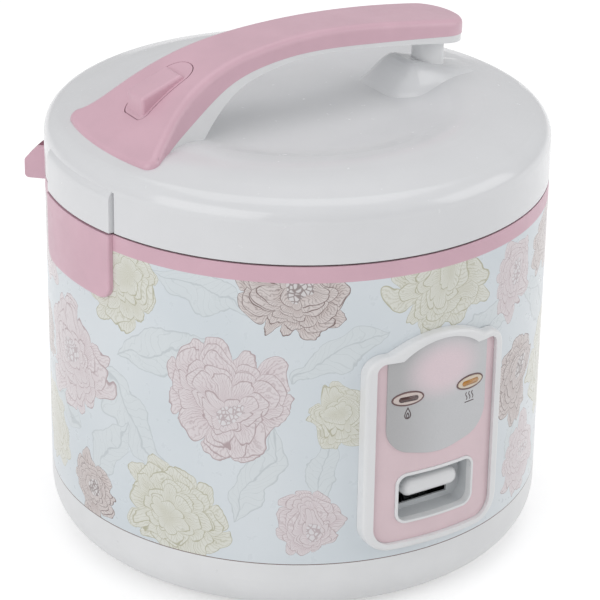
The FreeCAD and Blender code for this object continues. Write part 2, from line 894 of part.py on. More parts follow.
def make_lever_knob():
    back = knob_front - knob_depth
    low = knob_z - knob_height / 2
    knob = block(-knob_half_width, knob_half_width, -knob_front, -back, low, low + knob_height)
    knob = knob.makeFillet(knob_end_round, [e for e in knob.Edges if e.BoundBox.YLength > knob_depth / 2])
    knob = knob.makeFillet(knob_round, [e for e in knob.Edges if e.BoundBox.YMax < fit_gap - knob_front])
    w = lever_half_width + fit_gap
    half = lever_thickness / 2 + fit_gap
    pocket = block(-w, w, tongue_tip_y - fit_gap, -back + fit_gap, knob_z - half, knob_z + half)
    return knob.cut(pocket)


# Control panel

def humped_outline(half_width, low, low_corner, shoulder, corner, hump_top, hump_radius, slope, foot_round):
    """Rounded rectangle with a round hump, which runs out at the given slope, on its top edge."""
    slope = math.radians(slope)
    peak = hump_top + hump_radius * (1 / math.cos(slope) - 1)
    foot = (peak - shoulder) / math.tan(slope)
    return [(-half_width, low, low_corner), (half_width, low, low_corner), (half_width, shoulder, corner),
            (foot, shoulder, foot_round), (0, peak, hump_radius), (-foot, shoulder, foot_round),
            (-half_width, shoulder, corner)]


def panel_outline():
    """Outer edge of the panel's frame."""
    return humped_outline(panel_half_width, panel_bottom_z, panel_bottom_corner, panel_shoulder_z,
                          panel_corner, panel_hump_z, panel_hump_radius, panel_hump_slope,
                          panel_hump_foot_round)


def face_outline(inset):
    """Inner edge of the panel's frame, which the face fills."""
    return humped_outline(panel_half_width - frame_width - inset, panel_bottom_z + frame_bottom_width + inset,
                          panel_bottom_corner - frame_width - inset,
                          panel_shoulder_z - frame_top_width - inset, panel_corner - frame_width - inset,
                          panel_hump_z - frame_top_width - inset, frame_hump_radius - inset,
                          frame_hump_slope, 0)


def window_outline(grow):
    low = window_z - window_height / 2 - grow
    high = window_z + window_height / 2 + grow
    return rounded_rectangle(window_half_width + grow, low, high, window_corner + grow)


def lamp_prism(side, grow):
    """Oval prism through the front of the body at one of the two lamps."""
    oval = Part.Ellipse(ORIGIN, lamp_length / 2 + grow, lamp_height / 2 + grow)
    face = Part.Face(Part.Wire(oval.toShape()))
    face.rotate(ORIGIN, V(1, 0, 0), 90)
    face.translate(in_front(side * lamp_half_spacing, lamp_z))
    return face.extrude(V(0, 2 * body_radius, 0))


def badge_outline():
    """Plate with a bowed bottom edge; its top runs past the face, which trims it."""
    side_z = badge_bottom_z + badge_corner_rise
    return [(-badge_half_width, side_z, badge_corner), (0, badge_bottom_z, badge_bottom_radius),
            (badge_half_width, side_z, badge_corner), (badge_half_width, lid_z, 0),
            (-badge_half_width, lid_z, 0)]


def make_panel_frame():
    outer = front_prism(panel_outline()).common(skin(skin_radius, skin_radius + panel_rise))
    rounded = outer.makeFillet(panel_edge_round, front_edges(outer, skin_radius + panel_rise))
    return rounded.cut(front_prism(face_outline(0)))


def front_edges(shape, radius):
    """Edges that lie on the outermost face of a piece cut from an upright shell."""
    found = []
    for edge in shape.Edges:
        points = edge.discretize(5)
        if all(abs(math.hypot(p.x, p.y) - radius) < 1e-3 for p in points):
            found.append(edge)
    return found


def make_panel_face():
    face = front_prism(face_outline(fit_gap)).common(skin(skin_radius, face_radius))
    face = face.cut(front_prism(window_outline(bezel_width + fit_gap)))
    for side in (-1, 1):
        face = face.cut(lamp_prism(side, fit_gap))
    return face


def make_panel_badge():
    badge = front_prism(badge_outline()).common(front_prism(face_outline(fit_gap)))
    badge = badge.common(skin(face_radius, badge_radius))
    for side in (-1, 1):
        badge = badge.cut(lamp_prism(side, lamp_ring_width + fit_gap))
    return badge


def make_window_bezel():
    outer = face_radius + bezel_rise
    bezel = front_prism(window_outline(bezel_width)).common(skin(skin_radius, outer))
    bezel = bezel.makeFillet(bezel_rise / 2, front_edges(bezel, outer))
    return bezel.cut(front_prism(window_outline(0)))


def make_lever_well():
    """Box behind the window, open at the front, with a slot in its back for the lever's tongue."""
    front_half = block(-body_radius, body_radius, -2 * body_radius, well_back_y, 0, lid_z)
    outside = front_prism(window_outline(well_wall)).common(front_half)
    outside = outside.common(tube(body_radius, 0, 0, lid_z))
    inside = front_prism(window_outline(0)).common(front_half.translated(V(0, -well_wall, 0)))
    w = knob_half_width - well_slot_inset
    slot_low = knob_z - lever_thickness / 2 - lever_drop - well_slot_margin
    slot_high = knob_z + knob_height / 2 + well_slot_above_knob
    slot = block(-w, w, -body_radius, 0, slot_low, slot_high)
    return outside.cut(inside).cut(slot)


def make_lamp_lens(side):
    outer = badge_radius + lamp_ring_rise
    lens = lamp_prism(side, 0).common(skin(lamp_back, outer))
    return lens.makeFillet(lamp_ring_rise, front_edges(lens, outer))


def make_lamp_rings():
    rings = []
    for side in (-1, 1):
        ring = lamp_prism(side, lamp_ring_width)
        ring = ring.common(skin(face_radius, badge_radius + lamp_ring_rise / 2))
        rings.append(ring.cut(lamp_prism(side, fit_gap)))
    return Part.makeCompound(rings)


def make_neon_lamps():
    lamps = []
    angle = math.asin(lamp_half_spacing / lamp_back)
    radius = lamp_back - neon_gap - neon_radius
    for side in (-1, 1):
        middle = V(side * radius * math.sin(angle), -radius * math.cos(angle), lamp_z)
        along = V(math.cos(angle), side * math.sin(angle), 0) * (neon_length / 2)
        lamps.append(rod(neon_radius, middle - along, middle + along))
    return Part.makeCompound(lamps)


# Side blocks, latch keeper and hinge

def side_block(side, top):
    low = ring_top - block_height
    corners = [(-block_half_width, low, block_corner), (block_half_width, low, block_corner),
               (block_half_width, top, 0), (-block_half_width, top, 0)]
    return side_prism(corners, side).common(skin(skin_radius, skin_radius + block_rise))


def make_latch_block():
    plate = side_block(-1, ring_top)
    outer_edges = front_edges(plate, skin_radius + block_rise)
    return plate.makeFillet(block_rise / 2, [e for e in outer_edges if e.BoundBox.ZMin < ring_top - fit_gap])


def keeper_inner_x():
    return keeper_edge_x + keeper_lip


def make_latch_keeper():
    w = slot_half_width
    keeper = block(-body_radius, keeper_inner_x(), -keeper_half_width, keeper_half_width, keeper_z, flange_z)
    keeper = keeper.cut(block(slot_outer_x, keeper_edge_x, -w, w, keeper_z, flange_z))
    return keeper.common(tube(ring_inner - fit_gap, 0, keeper_z, flange_z))


def hinge_rod(radius, y0, y1):
    return rod(radius, V(hinge_pin_x, y0, hinge_pin_z), V(hinge_pin_x, y1, hinge_pin_z))


def body_knuckle(y0, y1):
    low = ring_z + fit_gap
    web = block(hinge_notch_x + fit_gap, hinge_pin_x, y0, y1, low, hinge_pin_z)
    cheek_top = hinge_pin_z - knuckle_radius / 2
    web = web.fuse(block(hinge_pin_x - fit_gap, body_radius + block_rise, y0, y1, low, cheek_top))
    return web.fuse(hinge_rod(knuckle_radius, y0, y1))


def make_hinge_block():
    plate = side_block(1, ring_top)
    low_plate_top = hinge_pin_z - knuckle_radius - lid_gap
    span = outer_knuckle_end + knuckle_side_gap
    plate = plate.cut(block(0, 2 * body_radius, -span, span, low_plate_top, lid_z))
    gap = knuckle_side_gap
    for y0, y1 in ((-outer_knuckle_end, -lug_end - gap), (-middle_knuckle_half, middle_knuckle_half),
                   (lug_end + gap, outer_knuckle_end)):
        plate = plate.fuse(body_knuckle(y0, y1))
    return plate.cut(hinge_rod(hinge_pin_radius + pin_gap, -body_radius, body_radius)).removeSplitter()


def make_hinge_pin():
    return hinge_rod(hinge_pin_radius, -outer_knuckle_end, outer_knuckle_end)


# Lid

def lid_corners(inset):
    """Half section of the lid's outside, or of its inside when inset by the wall."""
    low = lid_z - inset
    shoulder = shoulder_radius - inset
    return [(0, low, 0), (body_radius - inset, low, 0),
            (body_radius - inset, lid_z + shoulder_corner_height - inset, shoulder),
            (crest_radius, lid_z + crest_height - inset, lid_top_rounding - inset),
            (dish_edge_radius, lid_z + dish_edge_height - inset, lid_top_rounding - inset),
            (dish_floor_radius, lid_z + dish_floor_height - inset, lid_top_rounding + inset),
            (0, lid_z + dish_centre_height - inset, 0)]


def apron(side):
    """Thicker stretch of the lid's wall above a side block, fading out at the lid's shoulder."""
    outer = body_radius + apron_rise
    corners = [(apron_fade_radius / 2, lid_z, 0), (outer, lid_z, 0),
               (outer, lid_z + apron_corner_height, apron_corner_rounding),
               (apron_fade_radius, lid_z + apron_fade_height, 0),
               (apron_fade_radius / 2, lid_z + apron_fade_height - lid_wall, 0)]
    low = min(0, side * 2 * body_radius)
    high = max(0, side * 2 * body_radius)
    return turned(corners).common(block(low, high, -block_half_width, block_half_width, 0, 2 * lid_z))


def apron_slits():
    """Narrow upright grooves in the lid's wall beside both aprons."""
    inner = body_radius - apron_slit_depth
    outer = body_radius + 2 * apron_rise
    top = lid_z + apron_slit_height
    groove = turned([(inner, 0, 0), (outer, 0, 0), (outer, top, 0), (inner, top, 0)])
    near = block_half_width
    far = block_half_width + apron_slit_width
    sides = block(-outer, outer, near, far, 0, top).fuse(block(-outer, outer, -far, -near, 0, top))
    return groove.common(sides)


def spine_top(x):
    share = (x - spine_start_x) / (spine_end_x - spine_start_x)
    return lid_z + spine_start_height + share * (spine_end_height - spine_start_height)


def spine_slice(x, top, inset):
    """Bell-shaped section across the spine."""
    foot = lid_z + spine_foot_height - inset
    low = lid_z + dish_centre_height / 2
    near = [V(x, inset - half, foot + share * (top - inset - foot)) for half, share in spine_section]
    far = [V(x, -p.y, p.z) for p in reversed(near)]
    bell = near + [V(x, 0, top - inset)] + far
    ends = [bell[-1], V(x, far[-1].y, low), V(x, near[0].y, low), bell[0]]
    lines = [Part.LineSegment(a, b).toShape() for a, b in zip(ends, ends[1:])]
    return Part.Wire([spline(bell)] + lines)


def spine(inset):
    """Mound on the lid that carries the far end of the handle: a curved ramp and a straight ridge."""
    length = spine_start_x - spine_foot_x
    rise = spine_start_height - spine_foot_height
    fall = spine_top(spine_start_x + length) - spine_top(spine_start_x)
    slices = []
    for step in range(spine_ramp_steps + 1):
        share = step / spine_ramp_steps
        bend = share ** 3 - share ** 2
        height = spine_foot_height + rise * (share ** 2 - 2 * bend) + fall * bend
        x = spine_foot_x + share * length + (1 - share) * inset
        slices.append(spine_slice(x, lid_z + height, inset))
    slices.append(spine_slice(spine_end_x, spine_top(spine_end_x), inset))
    return Part.makeLoft(slices, True, True)


def lid_outside():
    solid = turned(lid_corners(0)).fuse(spine(0))
    solid = solid.fuse(apron(-1))
    return solid.fuse(apron(1)).removeSplitter()


def lid_inside():
    solid = turned(lid_corners(lid_wall))
    return solid.fuse(spine(lid_wall))


def make_lid_shell():
    shell = lid_outside().cut(lid_inside()).cut(apron_slits())
    gap = knuckle_side_gap
    for y0, y1 in ((-lug_end, -middle_knuckle_half - gap), (middle_knuckle_half + gap, lug_end)):
        lug = hinge_rod(knuckle_radius, y0, y1)
        web_start = hinge_pin_x - knuckle_radius / 2
        web_end = body_radius + apron_rise
        web = block(web_start, web_end, y0, y1, hinge_pin_z, lid_z + lid_wall)
        shell = shell.fuse(lug.fuse(web))
    shell = shell.cut(hinge_rod(hinge_pin_radius + pin_gap, -body_radius, body_radius))
    shell = shell.cut(lid_opening()).cut(post_way())
    shell = shell.cut(rod(vent_tube_radius + fit_gap, vent_place(0), vent_place(2 * lid_z)))
    for x in handle_screw_xs:
        shell = shell.cut(rod(screw_radius + fit_gap, V(x, 0, lid_z), V(x, 0, 2 * lid_z)))
    return shell.removeSplitter()


def button_well():
    """Room for the button and its stem under the handle's upper half."""
    return button_prism(button_gap + button_flange + button_well_margin)


def lid_opening():
    """Part of the button's well that goes down through the lid, ending short of the spring's post."""
    end = button_post_x - button_post_radius - lid_wall
    outer = block(-body_radius, end, -body_radius, body_radius, frame_z + frame_plate, 2 * lid_z)
    return button_well().common(outer)


def post_way():
    """Hole for the spring's post through the lid and the handle's floor."""
    foot = V(button_post_x, 0, frame_z + frame_plate)
    return rod(button_post_radius + fit_gap, foot, V(button_post_x, 0, 2 * lid_z))


def vent_place(height):
    return V(vent_x, vent_y, height)


def make_lid_inner_frame():
    radius = body_radius - lid_wall - frame_clearance
    top = frame_z + frame_plate
    frame = tube(radius, 0, frame_z, top)
    ear_inner = hook_half_width + run_gap
    for side in (-1, 1):
        y0 = side * ear_inner
        y1 = side * (ear_inner + latch_ear_thickness)
        ear = block(latch_pin_x - latch_boss_radius, latch_pin_x + latch_boss_radius,
                    min(y0, y1), max(y0, y1), frame_z, latch_pin_z)
        boss = rod(latch_boss_radius, V(latch_pin_x, y0, latch_pin_z), V(latch_pin_x, y1, latch_pin_z))
        frame = frame.fuse(ear.fuse(boss))
    post_foot = V(button_post_x, 0, frame_z)
    frame = frame.fuse(rod(button_post_radius, post_foot, V(button_post_x, 0, button_post_top())))
    frame = frame.cut(block(slot_outer_x, -inner_plate_radius, -ear_inner, ear_inner, lid_z, top))
    frame = frame.cut(latch_rod(latch_pin_radius + pin_gap, body_radius))
    frame = frame.cut(vent_way())
    frame = frame.cut(tube(plate_knob_stem_radius + fit_gap, 0, frame_z, top))
    return frame.removeSplitter()


def vent_way():
    """Way through the inside of the lid for the steam vent and its gasket."""
    return rod(vent_tube_radius + vent_gasket_width + fit_gap, vent_place(0), vent_place(2 * lid_z))


def latch_rod(radius, half_length):
    return rod(radius, V(latch_pin_x, -half_length, latch_pin_z), V(latch_pin_x, half_length, latch_pin_z))


def make_latch_pin():
    return latch_rod(latch_pin_radius, hook_half_width + run_gap + latch_ear_thickness)


def make_inner_lid_plate():
    plate = tube(inner_plate_radius, plate_knob_stem_radius + fit_gap, inner_plate_z, frame_z)
    return plate.cut(vent_way())


def make_lid_gasket():
    low = pot_rim_z + run_gap
    middle = (low + inner_plate_z) / 2
    rounding = (inner_plate_z - low) / 3
    corners = [(gasket_inner, low, rounding), (gasket_outer, low, rounding), (gasket_outer, inner_plate_z, 0),
               (gasket_inner + rounding, inner_plate_z, 0), (gasket_inner + rounding, middle, 0)]
    return turned(corners)


def make_plate_knob():
    low = inner_plate_z - plate_knob_rise
    head = tube(plate_knob_radius, 0, low, inner_plate_z)
    rim = [e for e in head.Edges if e.BoundBox.ZMax < low + fit_gap]
    head = head.makeFillet(plate_knob_rise / 2, rim)
    return head.fuse(tube(plate_knob_stem_radius, 0, inner_plate_z, frame_z + frame_plate)).removeSplitter()


# Steam vent

def vent_seat():
    """Height of the lid's top under the vent cap, at the cap's outer edge."""
    radius = math.hypot(vent_x, vent_y) + vent_radius
    slope = (dish_edge_height - dish_floor_height) / (dish_edge_radius - dish_floor_radius)
    return lid_z + dish_edge_height - max(0.0, dish_edge_radius - radius) * slope


def make_steam_vent_cap():
    top = vent_seat() + vent_rise
    bore = vent_tube_radius - vent_tube_wall
    cap = rod(vent_radius, vent_place(lid_z + dish_centre_height - lid_wall), vent_place(top))
    upper = [e for e in cap.Edges if e.BoundBox.ZMin > top - fit_gap]
    cap = cap.makeFillet(vent_rise / 2, upper).cut(turned(lid_corners(0)))
    cap = cap.fuse(rod(vent_tube_radius, vent_place(inner_plate_z), vent_place(top - vent_roof)))
    cap = cap.cut(rod(bore, vent_place(0), vent_place(top - vent_roof)))
    slots = vent_slots().common(rod(bore, vent_place(0), vent_place(2 * lid_z)))
    return cap.cut(slots).removeSplitter()


def vent_slots():
    """Row of slots, cut to the vent's bore where they are used."""
    middle = (vent_slot_count - 1) / 2
    slots = []
    for index in range(vent_slot_count):
        y = vent_y + (index - middle) * vent_slot_spacing
        slots.append(block(vent_x - vent_radius, vent_x + vent_radius,
                           y - vent_slot_width / 2, y + vent_slot_width / 2, lid_z, 2 * lid_z))
    return Part.makeCompound(slots)


def make_vent_gasket():
    low = vent_place(inner_plate_z)
    high = vent_place(frame_z + frame_plate)
    ring = rod(vent_tube_radius + vent_gasket_width, low, high)
    return ring.cut(rod(vent_tube_radius + fit_gap, low, high))


# Handle

def handle_curve(base_pairs, tip_pairs):
    """Points on the handle's middle plane, from its base end to its tip."""
    points = [V(handle_base_x + place, 0, lid_z + z) for place, z in base_pairs]
    points += [V(handle_tip_x - place, 0, lid_z + z) for place, z in tip_pairs]
    return points


def handle_top():
    return handle_curve(handle_top_base, handle_top_tip)


def handle_seam():
    return handle_curve(handle_seam_base, handle_seam_tip)


def handle_under():
    return handle_curve(handle_under_base, handle_under_tip)


def side_slab(upper, lower):
    """Slab between two curves seen from the side, wider than the handle."""
    top = spline(upper)
    bottom = spline(lower)
    edges = [top, Part.LineSegment(upper[-1], lower[0]).toShape(), bottom,
             Part.LineSegment(lower[-1], upper[0]).toShape()]
    face = Part.Face(Part.Wire(Part.__sortEdges__(edges)))
    face.translate(V(0, -body_radius, 0))
    return face.extrude(V(0, 2 * body_radius, 0))


def handle_plan(inset, tip_x):
    """Plan outline: a bar that flares to a wide base with a curved edge at -X."""
    base = handle_base_x + inset
    tip = tip_x - inset
    tip_round = handle_tip_round - inset
    tip_half = handle_tip_half_width - inset
    tip_side = tip_half - tip_round
    tip_bulge = tip_round * (1 - math.sqrt(0.5))
    corner_place, corner_half = handle_corner
    near = [V(base + corner_place, inset - corner_half, 0)]
    near += [V(handle_base_x + place, inset - half, 0) for place, half in handle_side_base]
    near += [V((handle_base_x + handle_tip_x) / 2, inset - handle_side_middle, 0)]
    near += [V(handle_tip_x - place, inset - half, 0) for place, half in handle_side_tip]
    near.append(V(tip - tip_round, -tip_half, 0))
    far = [V(p.x, -p.y, 0) for p in near]
    edges = [spline(near),
             Part.Arc(near[0], V(base, 0, 0), far[0]).toShape(),
             spline(far),
             Part.Arc(far[-1], V(tip - tip_bulge, tip_half - tip_bulge, 0), V(tip, tip_side, 0)).toShape(),
             Part.LineSegment(V(tip, tip_side, 0), V(tip, -tip_side, 0)).toShape(),
             Part.Arc(V(tip, -tip_side, 0), V(tip - tip_bulge, tip_bulge - tip_half, 0), near[-1]).toShape()]
    prism = Part.Face(Part.Wire(Part.__sortEdges__(edges))).extrude(UP * 2 * lid_z)
    upright = [e for e in prism.Edges if e.BoundBox.ZLength > lid_z]
    corners = [e for e in upright if e.BoundBox.XMax < base + corner_place + fit_gap]
    return prism.makeFillet(handle_corner_round - inset, corners)


def handle_body():
    """Outside of the handle's upper half, before it is hollowed."""
    slab = side_slab(handle_top(), handle_seam()[::-1])
    return slab.common(handle_plan(0, handle_tip_x)).Solids[0]


def make_handle_upper():
    solid = handle_body()
    solid = solid.makeFillet(handle_edge_round, handle_crease(solid))
    lowered = [p - UP * handle_wall for p in handle_top()]
    floor = [V(handle_tip_x, 0, lid_z), V(handle_base_x, 0, lid_z)]
    hollow = side_slab(lowered, floor).common(handle_plan(handle_wall, handle_tip_x))
    shell = solid.cut(hollow).cut(lid_outside())
    return shell.cut(button_prism(button_gap))


def handle_crease(solid):
    """Edges where the handle's top meets its sides: those of the higher of the two largest faces."""
    largest = sorted(solid.Faces, key=lambda face: face.Area)[-2:]
    top = max(largest, key=lambda face: face.CenterOfMass.z)
    return top.Edges


def handle_foot():
    """Underside of the handle from its tip to its foot, which runs on into the lid."""
    return handle_under()[::-1] + [V(handle_base_x, 0, lid_z)]


def make_handle_lower():
    slab = side_slab(handle_seam(), handle_foot())
    lower = slab.common(handle_plan(handle_lower_inset, handle_lower_tip_x))
    post_foot = [V(handle_tip_x, 0, lid_z), V(handle_base_x, 0, lid_z)]
    post_plan = rod(post_radius, V(post_x, 0, lid_z), V(post_x, 0, 2 * lid_z))
    post = side_slab(handle_seam(), post_foot).common(post_plan)
    floor = [p + UP * handle_wall for p in handle_foot()]
    well = button_well().common(side_slab(handle_top(), floor))
    lower = lower.fuse(post).cut(lid_outside()).cut(well).cut(post_way())
    for x in handle_screw_xs:
        seat = handle_screw_seat(x)
        lower = lower.cut(rod(screw_radius + fit_gap, seat, seat + UP * (handle_screw_length + fit_gap)))
    return lower.removeSplitter()


def handle_screw_seat(x):
    """Point under the spine's wall where a handle screw's head bears."""
    return V(x, 0, spine_top(x + screw_head_radius) - lid_wall - fit_gap)


def make_handle_screws():
    return Part.makeCompound([screw(handle_screw_seat(x), handle_screw_length) for x in handle_screw_xs])


# Release button and latch hook

def button_prism(grow):
    """Upright prism with the button's outline: blunt at its outer end, round at its inner end."""
    def place(x, y):
        return V(button_x + x, y, 0)
    length = button_half_length + grow
    width = button_half_width + grow
    outer = button_outer_round + grow
    inner = button_inner_round + grow
    corners = [(-length, -width, outer), (length, -width, inner),
               (length, width, inner), (-length, width, outer)]
    return Part.Face(rounded_wire(corners, place)).extrude(UP * 2 * lid_z)


def top_layer(above, below):
    """Layer that follows the handle's top, from below it to above it."""
    upper = [p + UP * above for p in handle_top()]
    lower = [p - UP * below for p in handle_top()[::-1]]
    return side_slab(upper, lower)


def button_post_top():
    return lowest_button_underside() - button_spring_pressed - button_travel


def handle_top_z(x):
    """Height of the handle's top along its middle."""
    curve = spline(handle_top())
    line = Part.LineSegment(V(x, 0, lid_z), V(x, 0, 2 * lid_z)).toShape()
    return curve.distToShape(line)[1][0][0].z


def button_under(x):
    """Height of the button's underside along its middle."""
    return handle_top_z(x) - button_thickness - handle_wall - run_gap


def make_release_button():
    plate = button_prism(0).common(top_layer(0, handle_wall + run_gap))
    flange = button_prism(button_gap + button_flange).common(
        top_layer(-handle_wall - run_gap, handle_wall + run_gap + button_thickness))
    ridge = button_ridge()
    stem_top = button_under(button_stem_x) + button_thickness
    stem_foot = arm_top + button_stem_gap
    stem = rod(button_stem_radius, V(button_stem_x, 0, stem_foot), V(button_stem_x, 0, stem_top))
    return plate.fuse(flange).fuse(ridge).fuse(stem).removeSplitter()


def button_ridge():
    """Thumb wedge on the button, highest at its outer end."""
    def place(x, z):
        return V(x, -button_ridge_half_width, z)
    start_x = handle_base_x + button_ridge_start
    end_x = handle_base_x + button_ridge_end
    outer = handle_top_z(start_x)
    inner = handle_top_z(end_x)
    corners = [(start_x, outer - handle_wall, 0), (end_x, inner - handle_wall, 0),
               (end_x, inner + button_ridge_inner_rise, 0), (start_x, outer + button_ridge_outer_rise, 0)]
    wedge = Part.Face(rounded_wire(corners, place)).extrude(V(0, 2 * button_ridge_half_width, 0))
    above = [e for e in wedge.Edges if e.CenterOfMass.z > handle_top_z(e.CenterOfMass.x)]
    return wedge.makeFillet(button_ridge_round, above)


def make_button_spring():
    low = button_post_top()
    return coil_spring("button_spring", V(button_post_x, 0, low), lowest_button_underside() - low,
                       button_coil_radius, button_wire_radius, button_turns)


def lowest_button_underside():
    return button_under(button_post_x - button_coil_radius - button_wire_radius)


def make_latch_hook():
    w = hook_half_width
    stem = block(hook_outer_x, hook_inner_x, -w, w, hook_foot_z, latch_pin_z)
    barb = block(hook_inner_x, hook_inner_x + hook_barb_length, -w, w, hook_foot_z, barb_z)
    arm_end = button_stem_x + button_stem_radius
    arm = block(latch_pin_x, arm_end, -w, w, arm_top - hook_arm_thickness, arm_top)
    boss = latch_rod(latch_boss_radius, w)
    hook = stem.fuse(barb).fuse(arm).fuse(boss)
    return hook.cut(latch_rod(latch_pin_radius + pin_gap, body_radius)).removeSplitter()


# Rear inlet and paddle holder

def inlet_outline(grow):
    low = inlet_z - inlet_height / 2 - grow
    return rounded_rectangle(inlet_half_width + grow, low, low + inlet_height + 2 * grow, inlet_corner + grow)


def make_power_inlet():
    back = body_radius - inlet_depth
    box = rear_prism(inlet_outline(0)).common(skin(0, skin_radius))
    box = box.cut(block(-body_radius, body_radius, 0, back, 0, lid_z))
    flange = rear_prism(inlet_outline(inlet_flange))
    flange = flange.common(skin(skin_radius, skin_radius + inlet_flange_rise))
    cavity = rear_prism(inlet_outline(-inlet_wall))
    cavity = cavity.cut(block(-body_radius, body_radius, 0, back + inlet_wall, 0, lid_z))
    inlet = box.fuse(flange).cut(cavity)
    for shape in inlet_pin_shapes(fit_gap):
        inlet = inlet.cut(shape)
    return inlet.removeSplitter()


def inlet_pin_shapes(grow):
    half_width = inlet_pin_half_width + grow
    half_height = inlet_pin_half_height + grow
    back = body_radius - inlet_depth
    front = back + inlet_wall + inlet_pin_length
    side_z = inlet_z - inlet_pin_drop / 2
    places = [(-inlet_pin_spacing, side_z), (0, inlet_z + inlet_pin_drop), (inlet_pin_spacing, side_z)]
    pins = []
    for x, z in places:
        pins.append(block(x - half_width, x + half_width, back, front, z - half_height, z + half_height))
    return pins


def make_paddle_holder():
    top = ring_top - holder_below_ring_top
    low = top - holder_height
    outer = skin_radius + holder_reach
    lip_z = low + holder_lip_height
    corners = [(skin_radius, low, 0), (outer, low, holder_wall), (outer, lip_z, holder_wall),
               (skin_radius + holder_lip_start, top, holder_wall), (skin_radius, top, 0)]
    holder = turned_sector(corners, holder_angle, holder_half_angle)
    wall_angle = math.degrees(holder_wall / body_radius)
    pocket = [(skin_radius + holder_wall, low + holder_wall, 0), (outer - holder_wall, low + holder_wall, 0),
              (outer - holder_wall, 2 * lid_z, 0), (skin_radius + holder_wall, 2 * lid_z, 0)]
    return holder.cut(turned_sector(pocket, holder_angle, holder_half_angle - wall_angle))


def make_inlet_pins():
    return Part.makeCompound(inlet_pin_shapes(0))


PIECES = {
    "base_housing": make_base_housing,
    "bottom_plate": make_bottom_plate,
    "rubber_feet": make_rubber_feet,
    "base_screws": make_base_screws,
    "body_sleeve": make_body_sleeve,
    "middle_ring": make_middle_ring,
    "inner_liner": make_inner_liner,
    "liner_screws": make_liner_screws,
    "heating_plate": make_heating_plate,
    "heating_element": make_heating_element,
    "plate_legs": make_plate_legs,
    "inner_pot": make_inner_pot,
    "thermostat_cup": make_thermostat_cup,
    "thermostat_can": make_thermostat_can,
    "thermostat_magnet": make_thermostat_magnet,
    "thermostat_spring": make_thermostat_spring,
    "cook_lever": make_cook_lever,
    "lever_bracket": make_lever_bracket,
    "lever_pin": make_lever_pin,
    "lever_spring": make_lever_spring,
    "lever_knob": make_lever_knob,
    "microswitch": make_microswitch,
    "panel_frame": make_panel_frame,
    "panel_face": make_panel_face,
    "panel_badge": make_panel_badge,
    "window_bezel": make_window_bezel,
    "lever_well": make_lever_well,
    "cook_lamp_lens": lambda: make_lamp_lens(-1),
    "warm_lamp_lens": lambda: make_lamp_lens(1),
    "lamp_rings": make_lamp_rings,
    "neon_lamps": make_neon_lamps,
    "latch_block": make_latch_block,
    "latch_keeper": make_latch_keeper,
    "hinge_block": make_hinge_block,
    "hinge_pin": make_hinge_pin,
    "power_inlet": make_power_inlet,
    "inlet_pins": make_inlet_pins,
    "paddle_holder": make_paddle_holder,
    "lid_shell": make_lid_shell,
    "lid_inner_frame": make_lid_inner_frame,
    "inner_lid_plate": make_inner_lid_plate,
    "lid_gasket": make_lid_gasket,
    "plate_knob": make_plate_knob,
    "steam_vent_cap": make_steam_vent_cap,
    "vent_gasket": make_vent_gasket,
    "handle_upper": make_handle_upper,
    "handle_lower": make_handle_lower,
    "handle_screws": make_handle_screws,
    "release_button": make_release_button,
    "button_spring": make_button_spring,
    "latch_hook": make_latch_hook,
    "latch_pin": make_latch_pin,
}

os.makedirs("parts", exist_ok=True)
for name, make in PIECES.items():
    shape = make()
    shape.exportStep("parts/" + name + ".step")
    print(name, len(shape.Solids), "solid(s)", round(shape.Volume / 1000, 2), "cm3",
          "" if shape.isValid() else "NOT VALID")
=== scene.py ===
import math

import bmesh
import bpy
from mathutils import Matrix, Vector


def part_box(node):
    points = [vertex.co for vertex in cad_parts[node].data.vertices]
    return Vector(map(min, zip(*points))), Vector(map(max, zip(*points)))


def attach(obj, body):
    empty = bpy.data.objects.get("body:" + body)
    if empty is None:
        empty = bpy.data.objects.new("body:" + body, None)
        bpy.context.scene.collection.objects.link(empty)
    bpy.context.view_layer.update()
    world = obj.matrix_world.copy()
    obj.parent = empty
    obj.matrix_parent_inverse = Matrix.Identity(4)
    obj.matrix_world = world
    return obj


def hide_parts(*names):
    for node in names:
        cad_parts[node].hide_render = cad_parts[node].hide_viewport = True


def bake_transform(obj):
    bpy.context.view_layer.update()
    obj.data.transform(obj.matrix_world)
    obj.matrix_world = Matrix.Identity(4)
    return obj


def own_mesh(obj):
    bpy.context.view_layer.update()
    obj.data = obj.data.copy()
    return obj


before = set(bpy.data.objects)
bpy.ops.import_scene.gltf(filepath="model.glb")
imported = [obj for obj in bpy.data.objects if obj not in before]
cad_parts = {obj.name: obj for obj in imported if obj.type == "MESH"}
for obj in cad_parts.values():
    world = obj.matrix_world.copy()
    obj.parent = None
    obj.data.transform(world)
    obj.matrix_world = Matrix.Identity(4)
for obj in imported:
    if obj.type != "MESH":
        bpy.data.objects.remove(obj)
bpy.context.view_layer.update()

MM = 0.001                     # in metres; sizes are in millimetres where nothing else is said

# Camera at the photo's viewing angle
CAMERA_DISTANCE = 1.3          # metres, level distance from the cooker's axis
CAMERA_HEIGHT = 0.7235         # metres
CAMERA_AZIMUTH = -32.5         # degrees, as are pitch and roll
CAMERA_PITCH = 24.92
CAMERA_ROLL = 0.854
CAMERA_LENS = 162.57
CAMERA_SENSOR = 36.0
CAMERA_SHIFT_X = 0.00815       # share of the picture's width

